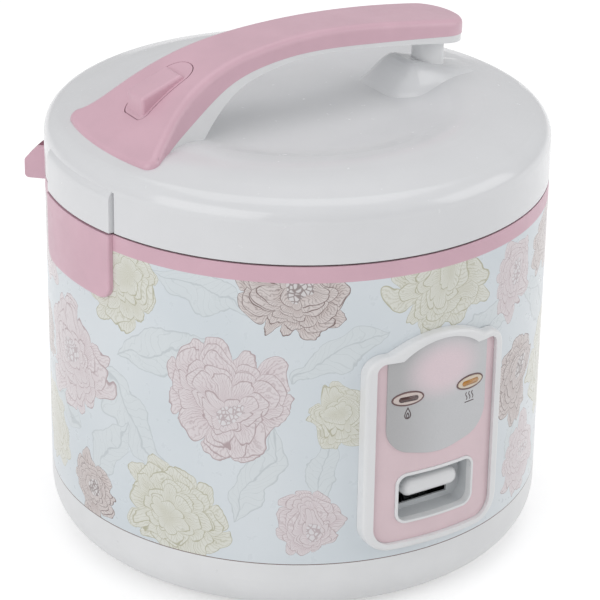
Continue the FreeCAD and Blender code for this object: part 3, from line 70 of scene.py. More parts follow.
# Studio lamps: (name, place in metres, size in metres, power in watts)
STUDIO_LAMPS = [
    ("key", (-2.2, -0.75, 1.05), (2.2, 1.8), 21.0),
    ("front", (1.85, -1.35, 1.0), (1.8, 1.4), 13.0),
    ("top", (0.2, 0.3, 2.4), (2.2, 1.8), 12.0),
]
STUDIO_TARGET = (0.0, 0.0, 0.13)
AMBIENT_COLOUR = (0.99, 0.99, 1.0, 1.0)
AMBIENT_STRENGTH = 0.55
BACKDROP_COLOUR = (1.0, 1.0, 1.0, 1.0)
BACKDROP_STRENGTH = 1.0
FLOOR_RADIUS = 6.0             # metres
FLOOR_SIDES = 96
FLOOR_COLOUR = (0.8, 0.8, 0.8, 1.0)
FLOOR_GLOW = 0.42              # added where the camera or a gloss sees the floor

# Sizes that the prints and small pieces take from the solids
BODY_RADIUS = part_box("body_sleeve")[1][0] / MM
SLEEVE_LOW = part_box("body_sleeve")[0][2] / MM

# Springs: wire radius and working turns of each
BUTTON_WIRE = 0.4
BUTTON_TURNS = 4.5
THERMOSTAT_WIRE = 0.6
THERMOSTAT_TURNS = 2.0
LEVER_WIRE = 0.5
LEVER_TURNS = 4.5
CLOSED_TURNS = 1.0             # at each end of a spring
SPRING_SIDES = 10
SPRING_STEPS = 24              # points per turn

# Coloured slots in the lamp lenses
SLOT_LENGTH = 10.6
SLOT_HEIGHT = 2.8
SLOT_THICKNESS = 0.15
SLOT_END_STEPS = 8             # in each round end

# Signs printed under the lamps
INK_THICKNESS = 0.05
SIGN_LINE = 0.5
SIGN_DROP = 8.0                # of the signs below the lamps
FLAME_OUTER = (2.3, 3.0)       # half width before the taper, and half height
FLAME_INNER = (1.0, 1.4)
FLAME_INNER_DROP = 1.1
FLAME_TAPER = 1.5
FLAME_STEPS = 24
WAVE_PLACES = (-2.0, 0.0, 2.0)
WAVE_DROP = 1.6                # of the waves' foot below the sign's middle
WAVE_HEIGHT = 4.2
WAVE_SWING = 0.5
WAVE_STEPS = 10
PLATE_LINE_PLACES = (-3.0, 0.0, 3.0)
PLATE_LINE_DROP = 2.8

# Dark strip under the lid's edge: painted shade in the gap between the ring and the lid
GAP_SHADE_INSET = 0.8               # from the body's side
GAP_SHADE_WIDTH = 3.7
GAP_SHADE_DEPTH = 0.75
LID_GAP = 1.0                  # between the ring and the lid
GAP_SHADE_OPEN = 15.5               # degrees to each side of the hinge
GAP_SHADE_STEPS = 180

# Pot's coating, and the level marks inside it
FLECK_EDGES = (0.62, 0.7)      # of the noise, from plain to fleck
FLECK_STRENGTH = 0.55
MARK_STEP = 10.5
MARK_SHARE = 0.045             # half of a mark's thickness, in steps
MARK_HALF_LENGTH = 9.0
MARKS_LOW = 94.0
MARKS_HIGH = 178.0

# Badge: a grey that pales to the right, with a soft rosy patch at the upper middle
BADGE_DARK_X = -30.0
BADGE_PALE_X = 6.0
BADGE_ROSY_X = 2.0
BADGE_ROSY_RISE = 12.0         # above the lamps
BADGE_ROSY_REACH = 19.0        # upwards
BADGE_ROSY_SQUEEZE = 0.72      # of distances across, so that the patch is wider than tall
BADGE_ROSY_CORE = 0.3          # share of the reach at full strength
BADGE_ROSY_STRENGTH = 0.9

# Finish of plastic and metal: noise scales are per metre
BUMP_DEPTH = 0.0002            # metres
CLOUDS = {"scale": 38.0, "detail": 4.0, "roughness": 0.55, "spread": 0.2}
RUBS = {"scale": 210.0, "detail": 5.0, "roughness": 0.6, "spread": 0.25}
STAINS = {"scale": 26.0, "detail": 4.0, "roughness": 0.55, "spread": 0.25}
RUB_SHARE = 0.15               # by which the polish of plastic varies
STAIN_SHADE = 0.8              # of a metal's colour where it is stained
DRAWN_EDGES = (0.2, 0.8)       # of the noise, from smooth to rough lines
DRAWN_SMOOTH = 0.75            # of a metal's roughness
DRAWN_ROUGH = 1.3

# Print on the sleeve: (kind, place around, height, radius, turn in degrees) of each bloom
CREAM = 0.25
ROSE = 0.5
MAUVE = 0.75
ROSE_FROM = 0.4                # between the kinds
MAUVE_FROM = 0.65
BLOOMS = [
    (CREAM, -238, 66, 27, 40), (ROSE, -66, 58, 20, 110), (MAUVE, -192, 48, 21, 75),
    (CREAM, -136, 56, 34, 200), (MAUVE, -74, 183, 30, 15), (ROSE, -252, 170, 30, 30),
    (ROSE, -208, 116, 37, 320), (CREAM, -168, 174, 31, 65), (MAUVE, -252, 116, 17, 5),
    (ROSE, -108, 124, 38, 150), (CREAM, -50, 116, 19, 250), (CREAM, 2, 182, 34, 20),
    (ROSE, 54, 168, 23, 80), (MAUVE, 64, 108, 27, 30), (ROSE, 72, 58, 26, 60),
    (CREAM, 116, 96, 38, 15), (MAUVE, 102, 172, 27, 50), (ROSE, 164, 152, 37, 25),
    (CREAM, 152, 50, 26, 70), (MAUVE, 198, 92, 31, 5), (ROSE, 240, 54, 28, 45),
    (CREAM, 226, 164, 35, 10), (ROSE, 280, 112, 38, 35), (MAUVE, 296, 180, 25, 0),
    (CREAM, 322, 58, 31, 20), (MAUVE, 346, 142, 29, 55), (ROSE, 384, 96, 22, 30),
    (ROSE, -302, 72, 35, 15), (CREAM, -316, 150, 35, 45), (MAUVE, -356, 92, 27, 20),
    (ROSE, -372, 168, 29, 60), (CREAM, -376, 46, 25, 0),
]
# Leaves behind the blooms: (place around, height, half length, turn in degrees)
LEAVES = [
    (-214, 168, 28, 20), (-160, 98, 34, -50), (-92, 82, 26, 65), (-226, 90, 24, -25),
    (-120, 180, 28, -15), (-60, 88, 22, 80), (-142, 142, 30, 15), (-180, 76, 26, 55),
    (-276, 106, 32, 40), (-52, 148, 26, 30), (34, 150, 24, 10), (88, 142, 30, -40),
    (60, 84, 24, 70), (130, 134, 32, 20), (190, 128, 30, -60), (252, 130, 30, 30),
    (206, 56, 28, 10), (312, 106, 32, -30), (352, 182, 26, 20), (-338, 122, 32, 60),
    (-332, 184, 26, -10), (108, 46, 26, -20), (284, 46, 26, 15), (-386, 122, 26, 75),
    (360, 50, 26, 40),
]
# Rings of petals from the outline inwards: (size, petals, start in radians, middle across, middle up)
RINGS = [
    (1.0, 11, 0.0, 0.0, 0.0), (0.88, 9, 0.9, -0.03, 0.02), (0.75, 11, 0.3, 0.03, 0.05),
    (0.62, 9, 0.6, 0.0, 0.08), (0.5, 9, 1.1, 0.03, 0.11), (0.37, 7, 0.2, 0.04, 0.15),
]
OUTSIDE = (2.0, 0.0, 0.0)      # a place beyond every petal, in shares of a bloom's radius
PETAL_SEED = 20                # spreads the chances of the rings' petals
PETAL_SPREAD = 0.2             # share by which the petals of one ring differ in reach
SCALLOP_LOW = 0.78
SCALLOP_RISE = 0.22
SCALLOP_POWER = 0.5
STRANDS = 9                    # fine lines in each petal
STRAND_SWAY = 2.4
STRAND_EDGES = (0.26, 0.46)    # from a strand's gap to its full line
STRAND_AT_RIM = 0.36           # strength, which grows towards the bloom's heart
STRAND_GROWTH = 0.3
PETAL_DEPTH = 0.26             # inside the rim, where the shade is full
PETAL_SHADE = 0.8
HEART_SIZE = 0.2
HEART_MIDDLE = (0.03, 0.2, 0.0)
HEART_CELLS = 0.42             # per millimetre
HEART_PALENESS = 0.6
LEAF_WIDTH = 0.36              # half width, in half lengths
LEAF_VEINS = 6.0
VEIN_SHARE = 0.1
VEIN_STRENGTH = 0.5
LEAF_TINT = 0.3
LEAF_INK = 0.45
# Drawn lines: (distance up to which the line is full, distance at which it is gone, strength)
LEAF_OUTLINE = (0.012, 0.034, 1.0)
LEAF_MIDRIB = (0.008, 0.022, 1.0)
PETAL_OUTLINE = (0.006, 0.022, 1.0)
PETAL_PARTING = (0.02, 0.08, 0.7)
HEART_OUTLINE = (0.04, 0.16, 0.75)
# Unevenness of the drawing: (noise scale per millimetre, reach in millimetres)
BROAD_SHAKE = (0.045, 22.0)
FINE_SHAKE = (0.2, 3.4)
FRAY_SCALE = 0.3               # per millimetre, of the strands' sway
SEAM_SHADE_WIDTH = 0.5                # of the painted shade line at the sleeve's foot, where it meets the base


def srgb(red, green, blue):
    """Linear colour from the 0 to 255 values that a screen shows."""
    def linear(value):
        value = value / 255.0
        if value <= 0.04045:
            return value / 12.92
        return ((value + 0.055) / 1.055) ** 2.4
    return (linear(red), linear(green), linear(blue), 1.0)


def shaded(colour, factor):
    """The colour made darker or lighter by a factor."""
    return tuple(min(1.0, part * factor) for part in colour[:3]) + (1.0,)


class Tree:
    """Short calls for building a material's nodes."""

    def __init__(self, name):
        self.material = bpy.data.materials.new(name)
        self.material.use_nodes = True
        self.nodes = self.material.node_tree.nodes
        self.links = self.material.node_tree.links
        self.nodes.clear()

    def put(self, socket, value):
        if isinstance(value, bpy.types.NodeSocket):
            self.links.new(value, socket)
        elif value is not None:
            socket.default_value = value

    def math(self, operation, first, second=None, third=None):
        node = self.nodes.new("ShaderNodeMath")
        node.operation = operation
        for socket, value in zip(node.inputs, (first, second, third)):
            self.put(socket, value)
        return node.outputs[0]

    def vector(self, operation, first, second=None, third=None):
        """Vector math; a length, a distance and a dot product come out as one number."""
        node = self.nodes.new("ShaderNodeVectorMath")
        node.operation = operation
        for socket, value in zip(node.inputs, (first, second, third)):
            self.put(socket, value)
        single = operation in ("LENGTH", "DISTANCE", "DOT_PRODUCT")
        return node.outputs["Value"] if single else node.outputs[0]

    def scale(self, vector, factor):
        node = self.nodes.new("ShaderNodeVectorMath")
        node.operation = "SCALE"
        self.put(node.inputs[0], vector)
        self.put(node.inputs["Scale"], factor)
        return node.outputs[0]

    def join(self, x, y, z):
        node = self.nodes.new("ShaderNodeCombineXYZ")
        for socket, value in zip(node.inputs, (x, y, z)):
            self.put(socket, value)
        return node.outputs[0]

    def split(self, vector):
        node = self.nodes.new("ShaderNodeSeparateXYZ")
        self.put(node.inputs[0], vector)
        return node.outputs

    def ramp(self, value, low, high, start=0.0, end=1.0):
        """Smooth step of value from low to high, given as start to end."""
        node = self.nodes.new("ShaderNodeMapRange")
        node.interpolation_type = "SMOOTHSTEP"
        for socket, given in zip(node.inputs, (value, low, high, start, end)):
            self.put(socket, given)
        return node.outputs[0]

    def line(self, distance, full, gone, strength):
        """Drawn line that is at its strength up to the distance full, and gone at the distance gone."""
        return self.ramp(distance, full, gone, strength, 0.0)

    def mix(self, share, first, second, kind="RGBA"):
        node = self.nodes.new("ShaderNodeMix")
        node.data_type = kind
        place = {"FLOAT": 2, "VECTOR": 4, "RGBA": 6}[kind]
        self.put(node.inputs[0], share)
        self.put(node.inputs[place], first)
        self.put(node.inputs[place + 1], second)
        return node.outputs[{"FLOAT": 0, "VECTOR": 1, "RGBA": 2}[kind]]

    def noise(self, scale, detail=3.0, roughness=0.5, vector=None):
        node = self.nodes.new("ShaderNodeTexNoise")
        self.put(node.inputs["Vector"], vector if vector is not None else self.place())
        node.inputs["Scale"].default_value = scale
        node.inputs["Detail"].default_value = detail
        node.inputs["Roughness"].default_value = roughness
        return node.outputs[0]

    def patches(self, scale, detail, roughness, spread, low=0.0, high=1.0):
        """Soft noise that goes from low to high within spread of its middle."""
        cloud = self.noise(scale, detail, roughness)
        return self.ramp(cloud, 0.5 - spread, 0.5 + spread, low, high)

    def warp(self, vector, scale, reach):
        """The vector shaken by up to half of reach with soft noise."""
        node = self.nodes.new("ShaderNodeTexNoise")
        self.put(node.inputs["Vector"], vector)
        node.inputs["Scale"].default_value = scale
        node.inputs["Detail"].default_value = 1.0
        shake = self.vector("SUBTRACT", node.outputs["Color"], (0.5, 0.5, 0.5))
        return self.vector("MULTIPLY_ADD", shake, (reach, reach, 0.0), vector)

    def turn(self, vector, degrees):
        node = self.nodes.new("ShaderNodeVectorRotate")
        node.rotation_type = "Z_AXIS"
        self.put(node.inputs["Vector"], vector)
        node.inputs["Angle"].default_value = math.radians(degrees)
        return node.outputs[0]

    def chance(self, value):
        """Fixed random number from 0 to 1 for each whole value."""
        node = self.nodes.new("ShaderNodeTexWhiteNoise")
        node.noise_dimensions = "1D"
        self.put(node.inputs["W"], value)
        return node.outputs["Value"]

    def place(self):
        """Position in the solids' own frame, in metres."""
        return self.nodes.new("ShaderNodeTexCoord").outputs["Object"]

    def bump(self, height, strength):
        node = self.nodes.new("ShaderNodeBump")
        node.inputs["Strength"].default_value = strength
        node.inputs["Distance"].default_value = BUMP_DEPTH
        self.put(node.inputs["Height"], height)
        return node.outputs[0]

    def surface(self, colour, roughness, normal, **constants):
        """Principled surface; constants are set on its own sockets."""
        shader = self.nodes.new("ShaderNodeBsdfPrincipled")
        self.put(shader.inputs["Base Color"], colour)
        self.put(shader.inputs["Roughness"], roughness)
        self.put(shader.inputs["Normal"], normal)
        for name, value in constants.items():
            shader.inputs[name.replace("_", " ")].default_value = value
        output = self.nodes.new("ShaderNodeOutputMaterial")
        self.links.new(shader.outputs[0], output.inputs[0])
        return self.material


def moulded(name, colour, roughness, shade=0.04, grain=0.012, grain_scale=2600.0, **constants):
    """Injection moulded plastic: slight cloudiness, uneven polish and a fine surface grain."""
    tree = Tree(name)
    tint = tree.mix(tree.patches(**CLOUDS), shaded(colour, 1 - shade), shaded(colour, 1 + shade))
    gloss = tree.patches(**RUBS, low=roughness * (1 - RUB_SHARE), high=roughness * (1 + RUB_SHARE))
    fine = tree.noise(grain_scale, detail=2.0, roughness=0.5)
    return tree.surface(tint, gloss, tree.bump(fine, grain), **constants)


def drawn_metal(name, colour, roughness, scale=900.0, depth=0.05, stretch=(1.0, 1.0, 1.0)):
    """Metal with fine drawn or turned lines; stretch squeezes them along radius, turn and height."""
    tree = Tree(name)
    x, y, z = tree.split(tree.place())
    squares = tree.math("ADD", tree.math("MULTIPLY", x, x), tree.math("MULTIPLY", y, y))
    radius = tree.math("SQRT", squares)
    around = tree.math("ARCTAN2", y, x)
    turned = tree.vector("MULTIPLY", tree.join(radius, around, z), stretch)
    lines = tree.noise(scale, detail=3.0, roughness=0.6, vector=turned)
    tint = tree.mix(tree.patches(**STAINS), shaded(colour, STAIN_SHADE), colour)
    gloss = tree.ramp(lines, *DRAWN_EDGES, roughness * DRAWN_SMOOTH, roughness * DRAWN_ROUGH)
    return tree.surface(tint, gloss, tree.bump(lines, depth), Metallic=1.0)


# Plastics
lid_white = moulded("lid_white", srgb(221, 222, 224), 0.24, shade=0.01, grain=0.002,
                    Coat_Weight=0.4, Coat_Roughness=0.06)
white = moulded("white_plastic", srgb(227, 228, 229), 0.32, shade=0.02, grain=0.02)
pink = moulded("pink_plastic", srgb(212, 174, 187), 0.36, shade=0.03, grain=0.03)
pink_handle = moulded("pink_handle", srgb(214, 176, 189), 0.33, shade=0.03, grain=0.03)
pink_face = moulded("pink_face", srgb(221, 199, 204), 0.4, shade=0.03, grain=0.04)
# Greyer white for the lever well's recess: painted shade on white plastic
well_white_painted_shade = moulded("well_white_painted_shade", srgb(205, 208, 210), 0.4, shade=0.02, grain=0.03)
dark_plastic = moulded("dark_plastic", srgb(44, 40, 41), 0.42, shade=0.12, grain=0.05)
ring_plastic = moulded("ring_plastic", srgb(112, 84, 84), 0.35, shade=0.08)
grey_plastic = moulded("grey_plastic", srgb(150, 152, 154), 0.42, shade=0.06, grain=0.05)
ink = moulded("ink", srgb(84, 70, 72), 0.5, shade=0.1)

# Dark stuff for the painted shade in the lid gap, then rubber and magnet
painted_gap_shade = moulded("painted_gap_shade", srgb(84, 70, 70), 0.72, shade=0.15, grain=0.12, grain_scale=1500.0)
pale_rubber = moulded("pale_rubber", srgb(206, 206, 204), 0.7, shade=0.06, grain=0.12,
                      grain_scale=1500.0)
silicone = moulded("silicone", srgb(214, 212, 206), 0.55, shade=0.05, grain=0.05)
ferrite = moulded("ferrite", srgb(58, 57, 58), 0.6, shade=0.2, grain=0.2, grain_scale=1800.0)

# Lamp lenses, their slots and the lamps behind them
red_lens = moulded("red_lens", srgb(206, 192, 186), 0.14, shade=0.05, grain=0.004, Coat_Weight=0.5)
amber_lens = moulded("amber_lens", srgb(212, 198, 178), 0.14, shade=0.05, grain=0.004, Coat_Weight=0.5)
red_glow = moulded("red_glow", srgb(70, 36, 34), 0.2, shade=0.35, grain=0.02, Coat_Weight=0.5)
amber_glow = moulded("amber_glow", srgb(188, 130, 52), 0.22, shade=0.25, grain=0.02, Coat_Weight=0.5)
lamp_glass = moulded("lamp_glass", srgb(226, 200, 178), 0.06, shade=0.1, grain=0.004,
                     Transmission_Weight=0.6)

# Metals
aluminium = drawn_metal("aluminium", srgb(206, 208, 210), 0.3, stretch=(30.0, 0.2, 30.0))
steel = drawn_metal("steel", srgb(176, 178, 180), 0.3, scale=400.0)
screw_zinc = drawn_metal("screw_zinc", srgb(188, 190, 186), 0.34, scale=700.0, depth=0.1)
dark_steel = drawn_metal("dark_steel", srgb(96, 92, 90), 0.5, scale=500.0, depth=0.15)
brass = drawn_metal("brass", srgb(206, 178, 110), 0.28, scale=500.0)


def level_marks(tree):
    """Mask of the short marks down the pot's far side."""
    x, y, z = tree.split(tree.place())
    level = tree.math("FRACT", tree.math("MULTIPLY", z, 1 / (MARK_STEP * MM)))
    off = tree.math("ABSOLUTE", tree.math("SUBTRACT", level, 0.5))
    thin = tree.math("LESS_THAN", off, MARK_SHARE)
    band = tree.math("LESS_THAN", tree.math("ABSOLUTE", x), MARK_HALF_LENGTH * MM)
    above = tree.math("GREATER_THAN", z, MARKS_LOW * MM)
    below = tree.math("LESS_THAN", z, MARKS_HIGH * MM)
    side = tree.math("GREATER_THAN", y, 0.0)
    mask = thin
    for part in (band, above, below, side):
        mask = tree.math("MULTIPLY", mask, part)
    return mask


def non_stick():
    """Dark coating with pale flecks, and short level marks down the inside of the pot."""
    tree = Tree("non_stick")
    cloud = tree.patches(scale=30.0, detail=4.0, roughness=0.6, spread=0.2)
    base = tree.mix(cloud, srgb(50, 51, 54), srgb(64, 65, 68))
    flecks = tree.ramp(tree.noise(1400.0, detail=2.0, roughness=0.5), *FLECK_EDGES, 0.0, FLECK_STRENGTH)
    fleck = tree.mix(flecks, base, srgb(128, 128, 130))
    colour = tree.mix(level_marks(tree), fleck, srgb(206, 206, 204))
    gloss = tree.patches(scale=240.0, detail=4.0, roughness=0.6, spread=0.3, low=0.3, high=0.44)
    fine = tree.noise(900.0, detail=3.0, roughness=0.6)
    return tree.surface(colour, gloss, tree.bump(fine, strength=0.06))


def middle(node):
    """Middle of a node across and up, in millimetres."""
    low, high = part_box(node)
    return (low[0] + high[0]) / 2 / MM, (low[2] + high[2]) / 2 / MM


def badge_print():
    """Grey sheet with its rosy patch and a fine metallic speck."""
    tree = Tree("badge_grey")
    x, y, z = tree.split(tree.place())
    across = tree.math("MULTIPLY", x, 1 / MM)
    up = tree.math("MULTIPLY_ADD", z, 1 / MM, -middle("cook_lamp_lens")[1] - BADGE_ROSY_RISE)
    aside = tree.math("MULTIPLY", tree.math("SUBTRACT", across, BADGE_ROSY_X), BADGE_ROSY_SQUEEZE)
    away = tree.vector("LENGTH", tree.join(aside, up, 0.0))
    pale = tree.ramp(across, BADGE_DARK_X, BADGE_PALE_X)
    grey = tree.mix(pale, srgb(177, 177, 178), srgb(200, 201, 203))
    rosy = tree.line(away, BADGE_ROSY_REACH * BADGE_ROSY_CORE, BADGE_ROSY_REACH, BADGE_ROSY_STRENGTH)
    tint = tree.mix(rosy, grey, srgb(227, 208, 214))
    speck = tree.patches(scale=3000.0, detail=2.0, roughness=0.5, spread=0.15, low=0.97, high=1.03)
    gloss = tree.patches(**RUBS, low=0.29, high=0.39)
    fine = tree.noise(4200.0, detail=2.0, roughness=0.5)
    return tree.surface(tree.scale(tint, speck), gloss, tree.bump(fine, strength=0.02))


def draw_leaves(tree, flat):
    """Mask of the leaves, and their outlines, midribs and veins."""
    leaf = tree.join(0.0, 0.0, 0.0)
    for place, level, reach, turn in LEAVES:
        cosine = math.cos(math.radians(turn)) / reach
        sine = math.sin(math.radians(turn)) / reach
        local = tree.vector("SUBTRACT", flat, (place, level, 0.0))
        along = tree.vector("DOT_PRODUCT", local, (cosine, sine, 0.0))
        across = tree.vector("DOT_PRODUCT", local, (-sine, cosine, 0.0))
        width = tree.math("MULTIPLY_ADD", tree.math("MULTIPLY", along, along), -LEAF_WIDTH, LEAF_WIDTH)
        edge = tree.math("SUBTRACT", width, tree.math("ABSOLUTE", across))
        inside = tree.math("GREATER_THAN", edge, 0.0)
        leaf = tree.mix(inside, leaf, tree.join(edge, along, across), "VECTOR")
    edge, along, across = tree.split(leaf)
    mask = tree.math("GREATER_THAN", edge, 0.0)
    rib = tree.math("ABSOLUTE", across)
    slant = tree.math("MULTIPLY", tree.math("SUBTRACT", along, rib), LEAF_VEINS)
    vein = tree.math("LESS_THAN", tree.math("FRACT", slant), VEIN_SHARE)
    vein = tree.math("MULTIPLY", vein, VEIN_STRENGTH)
    lines = tree.math("MAXIMUM", tree.line(edge, *LEAF_OUTLINE), tree.line(rib, *LEAF_MIDRIB))
    lines = tree.math("MAXIMUM", lines, vein)
    return mask, tree.math("MULTIPLY", lines, mask)


def pick_bloom(tree, flat):
    """Place in the last bloom that covers a spot, in shares of its radius, and the bloom's kind."""
    bloom = tree.join(*OUTSIDE)
    for kind, place, level, reach, turn in BLOOMS:
        local = tree.vector("MULTIPLY_ADD", flat, (1 / reach, 1 / reach, 0.0),
                            (-place / reach, -level / reach, kind))
        inside = tree.math("LESS_THAN", tree.vector("LENGTH", local), math.hypot(1.0, kind))
        bloom = tree.mix(inside, bloom, tree.turn(local, turn), "VECTOR")
    kind = tree.split(bloom)[2]
    return tree.vector("MULTIPLY", bloom, (1.0, 1.0, 0.0)), kind


def draw_petals(tree, bloom):
    """Mask of the blooms; the top petal's room inside its rim, its phase round the ring and its bulge."""
    mask = 0.0
    gap = 0.0
    petal = 0.0
    lobe = 1.0
    for size, count, start, across, up in RINGS:
        local = tree.vector("SUBTRACT", bloom, (across, up, 0.0))
        x, y, z = tree.split(local)
        phase = tree.math("MULTIPLY_ADD", tree.math("ARCTAN2", y, x), count / 2, start)
        bulge = tree.math("ABSOLUTE", tree.math("SINE", phase))
        whole = tree.math("FLOOR", tree.math("DIVIDE", phase, math.pi))
        number = tree.math("FLOORED_MODULO", whole, count)
        own = tree.chance(tree.math("ADD", number, PETAL_SEED * size))
        reach = tree.math("MULTIPLY_ADD", own, PETAL_SPREAD * size, (1 - PETAL_SPREAD) * size)
        scallop = tree.math("POWER", bulge, SCALLOP_POWER)
        rim = tree.math("MULTIPLY_ADD", scallop, SCALLOP_RISE, SCALLOP_LOW)
        room = tree.math("SUBTRACT", tree.math("MULTIPLY", rim, reach), tree.vector("LENGTH", local))
        inside = tree.math("GREATER_THAN", room, 0.0)
        mask = tree.math("MAXIMUM", mask, inside)
        gap = tree.mix(inside, gap, room, "FLOAT")
        petal = tree.mix(inside, petal, phase, "FLOAT")
        lobe = tree.mix(inside, lobe, bulge, "FLOAT")
    return mask, gap, petal, lobe


def petal_lines(tree, flat, gap, petal, lobe, depth):
    """Lines along the rims, between the petals and along their strands."""
    fray = tree.noise(FRAY_SCALE, detail=3.0, roughness=0.6, vector=flat)
    sway = tree.math("MULTIPLY", fray, STRAND_SWAY)
    strands = tree.math("FRACT", tree.math("MULTIPLY_ADD", petal, STRANDS / math.pi, sway))
    off = tree.math("ABSOLUTE", tree.math("SUBTRACT", strands, 0.5))
    strength = tree.math("MULTIPLY_ADD", depth, STRAND_GROWTH, STRAND_AT_RIM)
    strand = tree.math("MULTIPLY", tree.ramp(off, *STRAND_EDGES), strength)
    lines = tree.math("MAXIMUM", tree.line(gap, *PETAL_OUTLINE), tree.line(lobe, *PETAL_PARTING))
    return tree.math("MAXIMUM", lines, strand)


def draw_hearts(tree, flat, bloom, kind):
    """Mask of the hearts of the rose and mauve blooms, and their small cells."""
    near = tree.math("LESS_THAN", tree.vector("DISTANCE", bloom, HEART_MIDDLE), HEART_SIZE)
    mask = tree.math("MULTIPLY", near, tree.math("GREATER_THAN", kind, ROSE_FROM))
    cells = tree.nodes.new("ShaderNodeTexVoronoi")
    cells.feature = "DISTANCE_TO_EDGE"
    tree.put(cells.inputs["Vector"], flat)
    cells.inputs["Scale"].default_value = HEART_CELLS
    return mask, tree.line(cells.outputs["Distance"], *HEART_OUTLINE)


def by_kind(tree, kind, cream, rose, mauve):
    """One of three colours by the bloom's kind."""
    picker = tree.nodes.new("ShaderNodeValToRGB")
    picker.color_ramp.interpolation = "CONSTANT"
    picker.color_ramp.elements[0].color = cream
    picker.color_ramp.elements[1].position = ROSE_FROM
    picker.color_ramp.elements[1].color = rose
    picker.color_ramp.elements.new(MAUVE_FROM).color = mauve
    tree.put(picker.inputs[0], kind)
    return picker.outputs[0]


def colour_blooms(tree, flat, bloom, kind):
    """Mask and colour of the blooms."""
    mask, gap, petal, lobe = draw_petals(tree, bloom)
    depth = tree.ramp(gap, 0.0, PETAL_DEPTH)
    heart, cells = draw_hearts(tree, flat, bloom, kind)
    lines = tree.mix(heart, petal_lines(tree, flat, gap, petal, lobe, depth), cells, "FLOAT")
    fill = by_kind(tree, kind, srgb(221, 222, 214), srgb(222, 215, 217), srgb(214, 206, 204))
    shade = by_kind(tree, kind, srgb(213, 213, 201), srgb(215, 204, 207), srgb(199, 187, 184))
    line = by_kind(tree, kind, srgb(178, 176, 152), srgb(176, 158, 161), srgb(114, 94, 91))
    colour = tree.mix(tree.math("MULTIPLY", depth, PETAL_SHADE), fill, shade)
    colour = tree.mix(tree.math("MULTIPLY", heart, HEART_PALENESS), colour, srgb(221, 222, 224))
    return mask, tree.mix(lines, colour, line)


def colour_ground(tree, flat):
    """Colour of the pale ground with its leaves."""
    mask, lines = draw_leaves(tree, flat)
    cloud = tree.patches(scale=9.0, detail=3.0, roughness=0.5, spread=0.2)
    colour = tree.mix(cloud, srgb(210, 218, 223), srgb(219, 225, 229))
    colour = tree.mix(tree.math("MULTIPLY", mask, LEAF_TINT), colour, srgb(212, 218, 217))
    return tree.mix(tree.math("MULTIPLY", lines, LEAF_INK), colour, srgb(172, 180, 184))


def sleeve_print():
    """Lacquered sheet with line-drawn blooms and leaves, and a painted shade line at its foot where it
    meets the base.
    """
    tree = Tree("printed_sleeve")
    x, y, z = tree.split(tree.place())
    from_front = tree.math("ARCTAN2", x, tree.math("MULTIPLY", y, -1.0))
    around = tree.math("MULTIPLY", from_front, BODY_RADIUS)
    height = tree.math("MULTIPLY", z, 1 / MM)
    flat = tree.join(around, height, 0.0)
    shaken = tree.warp(tree.warp(flat, *BROAD_SHAKE), *FINE_SHAKE)
    bloom, kind = pick_bloom(tree, shaken)
    bloom_mask, petals = colour_blooms(tree, flat, bloom, kind)
    colour = tree.mix(bloom_mask, colour_ground(tree, shaken), petals)
    # Painted shade: the lowest bit of the sleeve is coloured dark for the shade of its seam with the base
    seam_shade = tree.math("LESS_THAN", height, SLEEVE_LOW + SEAM_SHADE_WIDTH)
    colour = tree.mix(seam_shade, colour, srgb(120, 104, 100))
    gloss = tree.patches(scale=160.0, detail=4.0, roughness=0.6, spread=0.25, low=0.26, high=0.36)
    peel = tree.noise(700.0, detail=2.0, roughness=0.5)
    normal = tree.bump(peel, strength=0.012)
    return tree.surface(colour, gloss, normal, Coat_Weight=0.25, Coat_Roughness=0.12)


FINISHES = {
    "lid_shell": lid_white, "base_housing": white, "handle_lower": white, "panel_frame": white,
    "window_bezel": white, "lever_knob": white, "lid_inner_frame": white, "steam_vent_cap": white,
    "lever_well": well_white_painted_shade, "middle_ring": pink, "latch_block": pink, "hinge_block": pink,
    "paddle_holder": pink, "handle_upper": pink_handle, "release_button": pink_handle,
    "panel_face": pink_face, "panel_badge": badge_print(), "microswitch": dark_plastic,
    "power_inlet": dark_plastic, "lamp_rings": ring_plastic, "latch_hook": grey_plastic,
    "plate_knob": grey_plastic, "bottom_plate": steel, "lever_bracket": steel, "cook_lever": steel,
    "lever_pin": steel, "hinge_pin": steel, "latch_pin": steel, "latch_keeper": steel,
    "thermostat_cup": steel, "base_screws": screw_zinc, "liner_screws": screw_zinc,
    "handle_screws": screw_zinc, "heating_element": dark_steel, "inner_liner": aluminium,
    "heating_plate": aluminium, "inner_lid_plate": aluminium, "thermostat_can": aluminium,
    "plate_legs": aluminium, "thermostat_magnet": ferrite, "rubber_feet": pale_rubber,
    "lid_gasket": silicone, "vent_gasket": silicone, "cook_lamp_lens": red_lens,
    "warm_lamp_lens": amber_lens, "neon_lamps": lamp_glass, "inlet_pins": brass,
    "thermostat_spring": steel, "lever_spring": steel, "button_spring": steel,
    "inner_pot": non_stick(), "body_sleeve": sleeve_print(),
}


def dress_solids():
    """Give every solid its finish."""
    for name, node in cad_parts.items():
        node.data.materials.clear()
        node.data.materials.append(FINISHES[name])


# Pieces made here
LAMP_SLOTS = [("cook_lamp_lens", red_glow, "red_lens"), ("warm_lamp_lens", amber_glow, "amber_lens")]


def add_piece(name, mesh, material, body=None):
    """New piece with smooth faces, which rides on the body if one is given."""
    piece = bpy.data.objects.new(name, mesh)
    bpy.context.scene.collection.objects.link(piece)
    mesh.materials.append(material)
    for face in mesh.polygons:
        face.use_smooth = True
    if body:
        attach(piece, body)
    return piece


def finished(made, name):
    """Mesh with its faces turned outwards."""
    mesh = bpy.data.meshes.new(name)
    bmesh.ops.recalc_face_normals(made, faces=made.faces)
    made.to_mesh(mesh)
    made.free()
    return mesh


